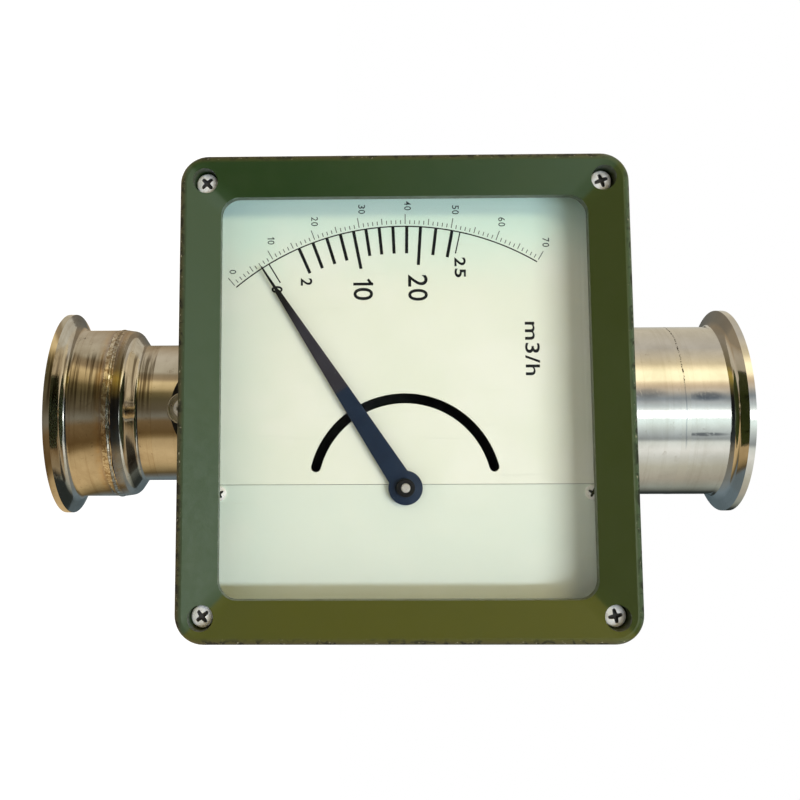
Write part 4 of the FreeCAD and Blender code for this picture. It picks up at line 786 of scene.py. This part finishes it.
def weld_bead():
    """Hand-laid bead on the inlet weld: a turned section with ripples pushed in and out."""
    bead = bmesh.new()
    half = (WELD_HIGH.z - WELD_LOW.z) / 2
    tube = REDUCER_HIGH.x
    inner = tube - WALL * MM
    section = [(inner, -BEAD_ROOT_HALF * MM), (tube, -half)]
    crown = BEAD_CROWN_HALF * MM
    for index in range(BEAD_POINTS):
        share = index / (BEAD_POINTS - 1)
        section.append((tube + BEAD_RISE * MM * math.sin(math.pi * share), -crown + 2 * crown * share))
    section += [(tube, half), (inner, BEAD_ROOT_HALF * MM)]
    points = [bead.verts.new((radius, 0.0, INLET_WELD_Z + z)) for radius, z in section]
    edges = [bead.edges.new((a, b)) for a, b in zip(points, points[1:] + points[:1])]
    bmesh.ops.spin(bead, geom=points + edges, cent=(0, 0, 0), axis=(0, 0, 1), angle=2 * math.pi,
                   steps=BEAD_STEPS, use_merge=True)
    for vertex in bead.verts:
        flat = Vector((vertex.co.x, vertex.co.y, 0.0))
        radius = flat.length
        if radius <= tube:
            continue
        angle = math.atan2(vertex.co.y, vertex.co.x)
        share = (vertex.co.z - INLET_WELD_Z) / crown
        ripple = math.sin(angle * BEAD_RIPPLES + 3.0 * share * share)
        lump = noise.noise(Vector((math.cos(angle), math.sin(angle), 0.0)) * BEAD_LUMPS)
        rough_side = max(0.0, math.cos(angle - BEAD_ROUGH_ANGLE))
        relief = BEAD_SMOOTH_SHARE + (1 - BEAD_SMOOTH_SHARE) * rough_side
        push = (BEAD_RIPPLE_DEPTH * ripple + BEAD_LUMP_DEPTH * lump) * relief * MM * (1 - share * share)
        wander = BEAD_WANDER * MM * noise.noise(Vector((math.cos(angle), math.sin(angle), 4.0)) * 4.0)
        vertex.co += flat.normalized() * push + Vector((0, 0, wander * (1 - share * share)))
    bmesh.ops.recalc_face_normals(bead, faces=bead.faces)
    made = object_from(bead, "rippled_weld", WELD_METAL, "meter_body")
    smooth_by_angle(made, 50)
    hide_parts("inlet_weld")


# Screw heads with a cross recess

# Shares of the head's radius
CROSS_LENGTH = 0.68
CROSS_HALF_WIDTH = 0.14
CROSS_NECK = 0.2
HEAD_FLAT = 0.76
HEAD_RINGS = (0.84, 0.92)
# Shares of the rim's height
HEAD_EDGE = 0.8
PIT_FLOOR = 0.35
# How far an arm's round end is stretched sideways, and how far the recess narrows to its floor
CROSS_END = 1.15
PIT_TAPER = 0.7


def cross_outline(mesh, matrix, radius):
    """Loop of vertices round a cross with rounded arm ends."""
    length, half_width, neck = radius * CROSS_LENGTH, radius * CROSS_HALF_WIDTH, radius * CROSS_NECK
    corners = []
    for quarter in range(4):
        turn = Matrix.Rotation(quarter * math.pi / 2, 4, "Z")
        corners.append(mesh.verts.new(matrix @ turn @ Vector((neck, -neck, 0.0))))
        for step in range(7):
            angle = math.radians(-90 + step * 30)
            tip = Vector((length - half_width + half_width * math.cos(angle),
                          half_width * CROSS_END * math.sin(angle), 0.0))
            corners.append(mesh.verts.new(matrix @ turn @ tip))
    loop = [mesh.edges.new((a, b)) for a, b in zip(corners, corners[1:] + corners[:1])]
    return corners, loop


def cross_screw(mesh, centre, radius, rim, crown, shank_radius, shank_end, turn_deg):
    """Domed screw along -Y: centre is the middle of the head's seat, shank_end a depth below it."""
    stand = Matrix.Translation(centre) @ Matrix.Rotation(math.radians(90), 4, "X")
    stand = stand @ Matrix.Rotation(math.radians(turn_deg), 4, "Z")
    back = stand.inverted()

    def to_dome(points):
        for point in points:
            local = back @ point.co
            share = (local.x ** 2 + local.y ** 2) / radius ** 2
            point.co = stand @ Vector((local.x, local.y, rim + crown * (1 - share)))

    def grow(edges, shape):
        """Extrudes a loop of edges; shape gives each new point its place on the upright head."""
        grown = bmesh.ops.extrude_edge_only(mesh, edges=edges)["geom"]
        points = [item for item in grown if isinstance(item, bmesh.types.BMVert)]
        for point in points:
            point.co = stand @ shape(back @ point.co)
        return [item for item in grown if isinstance(item, bmesh.types.BMEdge)
                and item.verts[0] in points and item.verts[1] in points]

    def ring_out(edges, ring_radius, ring_height):
        def shape(local):
            spread = Vector((local.x, local.y, 0.0)).normalized() * ring_radius
            return Vector((spread.x, spread.y, ring_height))
        return grow(edges, shape)

    def dome_height(ring_radius):
        return rim + crown * (1 - (ring_radius / radius) ** 2)

    corners, loop = cross_outline(mesh, stand, radius)
    flat = radius * HEAD_FLAT
    circle = bmesh.ops.create_circle(mesh, cap_ends=False, segments=32, radius=flat, matrix=stand)["verts"]
    to_dome(corners + circle)
    circle_edges = [edge for edge in mesh.edges if edge.verts[0] in circle and edge.verts[1] in circle]
    bmesh.ops.bridge_loops(mesh, edges=loop + circle_edges)
    floor = grow(loop, lambda local: Vector((local.x * PIT_TAPER, local.y * PIT_TAPER, rim * PIT_FLOOR)))
    bmesh.ops.contextual_create(mesh, geom=floor)
    edges = circle_edges
    for share in HEAD_RINGS:
        edges = ring_out(edges, radius * share, dome_height(radius * share))
    for ring_radius, ring_height in ((radius, rim * HEAD_EDGE), (radius, 0.0), (shank_radius, 0.0),
                                     (shank_radius, shank_end)):
        edges = ring_out(edges, ring_radius, ring_height)
    bmesh.ops.contextual_create(mesh, geom=edges)


def cover_screw_heads():
    """The four cover screws, each turned as it was last left."""
    screws = bmesh.new()
    seat_y = SCREWS_LOW.y + COVER_HEAD_SEAT * MM
    turns = {(-1, -1): 44, (-1, 1): 20, (1, -1): 38, (1, 1): 12}
    for (side_x, side_z), turn in turns.items():
        centre = (side_x * COVER_SCREW_X * MM, seat_y, CENTRE_Z + side_z * COVER_SCREW_Z * MM)
        cross_screw(screws, centre, COVER_HEAD_RADIUS * MM, COVER_HEAD_RIM * MM, COVER_HEAD_CROWN * MM,
                    COVER_SHANK_RADIUS * MM, seat_y - SCREWS_HIGH.y, turn)
    bmesh.ops.recalc_face_normals(screws, faces=screws.faces)
    made = object_from(screws, "cross_head_screws", COVER_SCREW_METAL, "meter_body")
    smooth_by_angle(made, 40)
    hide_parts("cover_screws")


def dial_screw_heads():
    """The two small screws at the ends of the dial's seam."""
    screws = bmesh.new()
    seat_y = DIAL_SCREWS_LOW.y + DIAL_HEAD_SEAT * MM
    for side_z, turn in ((-1, 30), (1, 64)):
        centre = (DIAL_SCREW_X * MM, seat_y, CENTRE_Z + side_z * DIAL_SCREW_Z * MM)
        cross_screw(screws, centre, DIAL_HEAD_RADIUS * MM, DIAL_HEAD_RIM * MM, DIAL_HEAD_CROWN * MM,
                    DIAL_SHANK_RADIUS * MM, seat_y - DIAL_SCREWS_HIGH.y, turn)
    bmesh.ops.recalc_face_normals(screws, faces=screws.faces)
    made = object_from(screws, "dial_screw_heads", DIAL_SCREW_METAL, "meter_body")
    smooth_by_angle(made, 40)
    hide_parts("dial_screws")


# Stage: lengths in metres, apart from the two gaps under the part, which are in millimetres

FLOOR_GLOW = 1.2
FLOOR_WHITE_SHARE = 0.86
FLOOR_SIZE = 4.0
FLOOR_GAP = 0.3
RING_GAP = 0.1
RING_CENTRE = 0.02
RING_STEPS = 96
WORLD_LIGHT = (0.27, 0.225, 0.14, 1.0)


def stage_object(mesh_builder, name, material):
    made = linked_object(mesh_builder, name, material)
    return made


def seen_directly(finish):
    """1 for what the camera, metal or glass sees, and 0 for light that falls on things."""
    kinds = ("Is Camera Ray", "Is Glossy Ray", "Is Transmission Ray")
    camera, glossy, through = [finish.node("ShaderNodeLightPath", output=kind) for kind in kinds]
    return camera.high(glossy).high(through)


def add_floor():
    """Pale floor just under the inlet face. It shows white and keeps a soft shadow."""
    finish = new_finish("floor")
    matte = finish.node("ShaderNodeBsdfDiffuse", None, {"Color": (0.82, 0.82, 0.81, 1.0)})
    white = finish.node("ShaderNodeEmission", None, {"Color": (1, 1, 1, 1), "Strength": FLOOR_GLOW})
    share = seen_directly(finish) * FLOOR_WHITE_SHARE
    material = finish.end(finish.node("ShaderNodeMixShader", None, {0: share, 1: matte, 2: white}))
    floor = bmesh.new()
    bmesh.ops.create_grid(floor, x_segments=1, y_segments=1, size=FLOOR_SIZE,
                          matrix=Matrix.Translation((0, 0, cad_low.z - FLOOR_GAP * MM)))
    stage_object(floor, "floor", material)


def add_world():
    """White where the camera, metal or glass sees it, and a weak warm grey as light."""
    world = bpy.data.worlds.new("studio")
    bpy.context.scene.world = world
    finish = Finish(world, "ShaderNodeOutputWorld")
    colour = finish.mix(seen_directly(finish), WORLD_LIGHT, (1, 1, 1, 1))
    finish.end(finish.node("ShaderNodeBackground", None, {"Color": colour, "Strength": 1.0}))


# Lamps: name, place, width, height, power, colour
LAMPS = [("key", (0.44, -2.15, 1.29), 0.2, 1.4, 42.0, (0.74, 0.84, 1.0)),
         ("fill", (-0.44, -2.15, 1.29), 0.3, 1.4, 21.0, (1.0, 0.86, 0.56)),
         ("back", (0.5, 1.2, 0.9), 0.9, 0.9, 13.0, (1.0, 1.0, 1.0))]


def add_lamp(name, place, width, height, power, colour):
    """Area lamp aimed at the middle of the dial; metal doesn't reflect it."""
    data = bpy.data.lights.new(name, "AREA")
    data.shape = "RECTANGLE"
    data.size = width
    data.size_y = height
    data.energy = power
    data.color = colour
    lamp = bpy.data.objects.new(name, data)
    bpy.context.scene.collection.objects.link(lamp)
    place = Vector(place)
    lamp.rotation_euler = (Vector(DIAL_CENTRE) - place).to_track_quat("-Z", "Y").to_euler()
    lamp.location = place
    lamp.visible_glossy = False


RING_RADIUS = 1.25
UPPER_TOP = 1.05
RING_TOP = 1.9
NEAR_FLOOR_RADIUS = 0.42
FRONT_HEIGHT = 0.44
# Share of a ring's light that the steel gives back; the rings are brighter by it
STEEL_SHARE = 0.7

# What metal and glass see round the object, by degrees from -Y towards -X: display colours that
# fade from one to the next. Near floor to the pipe's lower end, upper wall to its upper end.
NEAR_FLOOR = [(-180, (60, 70, 72)), (-140, (96, 106, 110)), (-118, (84, 72, 48)),
              (-100, (150, 130, 92)), (-88, (174, 150, 109)),
              (-66, (181, 157, 116)), (-46, (160, 138, 100)), (-40, (112, 92, 60)), (-34, (88, 69, 41)),
              (-15, (100, 82, 56)), (-8, (106, 102, 90)), (2, (82, 74, 58)), (20, (78, 70, 48)),
              (29, (100, 88, 58)), (36, (172, 152, 110)), (46, (200, 178, 134)), (52, (140, 122, 94)),
              (60, (128, 114, 90)), (66, (160, 151, 131)), (100, (168, 158, 140)), (135, (140, 124, 100)),
              (180, (60, 70, 72))]
FRONT = [(-180, (60, 72, 76)), (-140, (98, 110, 116)), (-100, (110, 112, 108)),
         (-60, (110, 104, 90)), (-42, (44, 48, 48)),
         (-20, (28, 30, 30)), (0, (18, 19, 20)), (16, (26, 25, 22)), (30, (90, 80, 44)), (44, (150, 130, 62)),
         (58, (100, 90, 64)), (100, (120, 112, 98)), (140, (122, 110, 92)), (180, (60, 72, 76))]
UPPER = [(-180, (34, 42, 42)), (-150, (40, 44, 42)), (-128, (126, 130, 121)),
         (-106, (150, 145, 132)), (-83, (166, 164, 150)),
         (-68, (183, 184, 177)), (-56, (210, 211, 206)), (-45, (198, 203, 198)), (-41, (128, 134, 135)),
         (-36, (152, 159, 160)), (-29, (175, 184, 183)), (-23, (200, 211, 208)), (-17, (221, 237, 235)),
         (-11, (226, 240, 239)), (-2, (226, 234, 234)),
         (3, (177, 188, 190)), (8, (160, 165, 167)), (13, (116, 125, 131)), (18, (142, 143, 140)),
         (24, (181, 170, 153)), (29, (181, 164, 140)), (34, (212, 192, 158)), (38, (253, 240, 200)),
         (50, (255, 246, 204)), (56, (236, 220, 180)), (62, (196, 182, 150)), (72, (184, 173, 150)),
         (90, (167, 161, 150)), (140, (176, 168, 150)), (165, (168, 166, 156)), (172, (58, 62, 60)),
         (180, (34, 42, 42))]
CEILING = [(-180, (34, 42, 42)), (-130, (50, 46, 38)), (-110, (150, 136, 110)),
           (-75, (128, 108, 78)), (-50, (54, 46, 36)),
           (-10, (40, 42, 40)), (20, (48, 54, 52)), (48, (70, 66, 52)), (62, (190, 176, 140)),
           (80, (204, 190, 162)), (130, (176, 162, 134)), (162, (156, 148, 130)),
           (172, (50, 52, 50)), (180, (34, 42, 42))]
BRIGHT_WINDOW_DEG = (-11.5, -3.5)
BRIGHT_WINDOW_RADIUS = 1.2
BRIGHT_WINDOW_HEIGHTS = (0.46, 1.02)
BRIGHT_WINDOW_STRENGTH = 3.2


def seen_by_metal(made):
    """Only mirror-like surfaces see this stage piece."""
    made.visible_camera = False
    made.visible_diffuse = False
    made.visible_shadow = False
    made.visible_transmission = False
    made.visible_volume_scatter = False


def ring_light(name, stops):
    """Glow whose colour changes with the direction from the pipe's axis."""
    finish = new_finish(name)
    x, y, z = finish.axes(finish.place_mm())
    turn = (0 - x).math("ARCTAN2", 0 - x, 0 - y)
    share = turn / (2 * math.pi) + 0.5
    bright = [((degrees + 180) / 360, tuple(part / STEEL_SHARE for part in rgb(*colour)[:3]) + (1.0,))
              for degrees, colour in stops]
    colour = finish.node("ShaderNodeValToRGB", {"stops": bright}, {"Fac": share})
    return finish.end(finish.node("ShaderNodeEmission", None, {"Color": colour, "Strength": 1.0}))


def add_ring(name, section, stops):
    """Surface of revolution round the pipe's axis, from points (radius, height)."""
    ring = bmesh.new()
    points = [ring.verts.new((radius, 0.0, height)) for radius, height in section]
    edges = [ring.edges.new((a, b)) for a, b in zip(points, points[1:])]
    bmesh.ops.spin(ring, geom=points + edges, cent=(0, 0, 0), axis=(0, 0, 1), angle=2 * math.pi,
                   steps=RING_STEPS, use_merge=True)
    seen_by_metal(stage_object(ring, name, ring_light(name, stops)))


def add_bright_window():
    """Narrow bright panel that makes the white band along the pipe's upper end."""
    start, end = BRIGHT_WINDOW_DEG
    angle = math.radians(start)
    x = -BRIGHT_WINDOW_RADIUS * math.sin(angle)
    y = -BRIGHT_WINDOW_RADIUS * math.cos(angle)
    panel = bmesh.new()
    corners = [panel.verts.new((x, y, z)) for z in BRIGHT_WINDOW_HEIGHTS]
    side = panel.edges.new(corners)
    bmesh.ops.spin(panel, geom=corners + [side], cent=(0, 0, 0), axis=(0, 0, 1),
                   angle=math.radians(start - end), steps=4)
    finish = new_finish("bright_window")
    glow = finish.node("ShaderNodeEmission", None, {"Color": (0.97, 1.0, 1.0, 1.0),
                                                    "Strength": BRIGHT_WINDOW_STRENGTH})
    seen_by_metal(stage_object(panel, "bright_window", finish.end(glow)))


def add_reflections():
    """A dark front, which keeps the glass clear, a warm near floor, a cool upper wall and a ceiling."""
    floor_z = cad_low.z - RING_GAP * MM
    add_ring("near_floor", [(RING_CENTRE, floor_z), (NEAR_FLOOR_RADIUS, floor_z)], NEAR_FLOOR)
    front = [(NEAR_FLOOR_RADIUS, floor_z), (RING_RADIUS, floor_z), (RING_RADIUS, FRONT_HEIGHT)]
    add_ring("front", front, FRONT)
    add_ring("upper", [(RING_RADIUS, FRONT_HEIGHT), (RING_RADIUS, UPPER_TOP)], UPPER)
    add_ring("ceiling", [(RING_RADIUS, UPPER_TOP), (RING_RADIUS, RING_TOP), (RING_CENTRE, RING_TOP)], CEILING)
    add_bright_window()


def add_camera():
    data = bpy.data.cameras.new("camera")
    data.lens = CAMERA_LENS
    data.sensor_width = CAMERA_SENSOR
    data.shift_x = CAMERA_SHIFT_X
    data.shift_y = CAMERA_SHIFT_Y
    camera = bpy.data.objects.new("camera", data)
    bpy.context.scene.collection.objects.link(camera)
    back = (CAMERA_PLACE - CAMERA_AIM).normalized()
    right = CAMERA_TOP.cross(back).normalized()
    turn = Matrix((right, back.cross(right), back)).transposed().to_4x4()
    camera.matrix_world = Matrix.Translation(CAMERA_PLACE) @ turn
    bpy.context.scene.camera = camera


# Scene

bpy.context.scene.view_settings.view_transform = "Standard"
add_camera()

STEEL_WARM = inlet_steel()
STEEL_BRIGHT = outlet_steel()
WELD_METAL = weld_steel()
SEAM_METAL = seam_steel()
GREEN = green_paint()
SCALE_ENAMEL = dial_enamel("scale_enamel", rgb(226, 230, 213), rgb(232, 234, 220))
NAME_ENAMEL = dial_enamel("name_enamel", rgb(217, 226, 212), rgb(222, 229, 215))
INK_BLACK = print_ink("black_ink", rgb(10, 14, 18))
INK_GREY = print_ink("grey_ink", rgb(46, 58, 56))
INK_PALE = print_ink("pale_ink", rgb(96, 104, 98))
POINTER_PAINT = pointer_paint()
COVER_SCREW_METAL = screw_steel("cover_screw_steel", COVER_SCREW_X, COVER_SCREW_Z, True,
                                SCREWS_LOW.y / MM + COVER_HEAD_SEAT - COVER_HEAD_RIM - COVER_HEAD_CROWN,
                                COVER_HEAD_RADIUS, COVER_HEAD_CROWN)
DIAL_SCREW_METAL = screw_steel("dial_screw_steel", DIAL_SCREW_X, DIAL_SCREW_Z, False,
                               DIAL_SCREWS_LOW.y / MM + DIAL_HEAD_SEAT - DIAL_HEAD_RIM - DIAL_HEAD_CROWN,
                               DIAL_HEAD_RADIUS, DIAL_HEAD_CROWN)
SCREW_METAL = plain_metal("plain_screw_steel", rgb(206, 202, 194), rgb(232, 229, 222), 0.22, 0.9,
                          metallic=0.5)
BLACK_PLATE = plain_metal("black_plate", rgb(16, 16, 17), rgb(26, 26, 27), 0.4, 0.8, metallic=0.0)
ZINC = plain_metal("zinc_plating", rgb(186, 174, 144), rgb(222, 214, 192), 0.22, 1.2, metallic=0.6)
ALUMINIUM = plain_metal("rolled_aluminium", rgb(178, 179, 180), rgb(196, 197, 198), 0.35, 0.6)
DARK_CARRIER = dark_carrier()
BRASS = plain_metal("turned_brass", rgb(196, 164, 92), rgb(214, 184, 112), 0.25, 0.7)
MAGNET = plain_metal("sintered_magnet", rgb(66, 66, 70), rgb(84, 84, 88), 0.5, 0.5)
RUBBER = soft_plastic("black_rubber", rgb(18, 18, 18), rgb(30, 30, 30), 0.7)
BUSH = soft_plastic("white_bush", rgb(226, 226, 220), rgb(236, 236, 232), 0.45)
GLASS = window_glass()

NODE_FINISHES = {
    STEEL_WARM: ["inlet_ferrule", "inlet_reducer", "lower_guide", "lower_retaining_ring"],
    STEEL_BRIGHT: ["metering_tube", "outlet_ferrule", "upper_guide", "upper_retaining_ring", "float_body",
                   "float_cap", "float_rod", "float_stop", "bracket_bosses"],
    WELD_METAL: ["inlet_weld"],
    SEAM_METAL: ["outlet_weld"],
    GREEN: ["cover", "housing_base"],
    SCALE_ENAMEL: ["scale_plate"],
    NAME_ENAMEL: ["name_plate"],
    POINTER_PAINT: ["pointer"],
    SCREW_METAL: ["cover_screws", "bracket_screws", "dial_screws", "base_screws", "movement_screws",
                  "clip_screws", "pointer_shaft"],
    BLACK_PLATE: ["bracket_plate", "pointer_bush"],
    ZINC: ["bracket_cups", "window_clips"],
    ALUMINIUM: ["movement_plate", "damping_disc", "dial_pillars"],
    DARK_CARRIER: ["dial_carrier"],
    BRASS: ["rear_bearing", "front_bearing", "magnet_holder", "counterweight"],
    MAGNET: ["follower_magnet", "float_magnet", "brake_magnet"],
    RUBBER: ["cover_gasket", "window_seal"],
    BUSH: ["lower_bush", "upper_bush"],
    GLASS: ["window_glass"],
}
for finish_material, nodes in NODE_FINISHES.items():
    for node in nodes:
        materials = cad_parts[node].data.materials
        materials.clear()
        materials.append(finish_material)

weld_bead()
scale_marks()
flow_marks()
scale_numbers()
painted_pointer()
cover_screw_heads()
dial_screw_heads()

add_floor()
add_world()
add_reflections()
for lamp_values in LAMPS:
    add_lamp(*lamp_values)
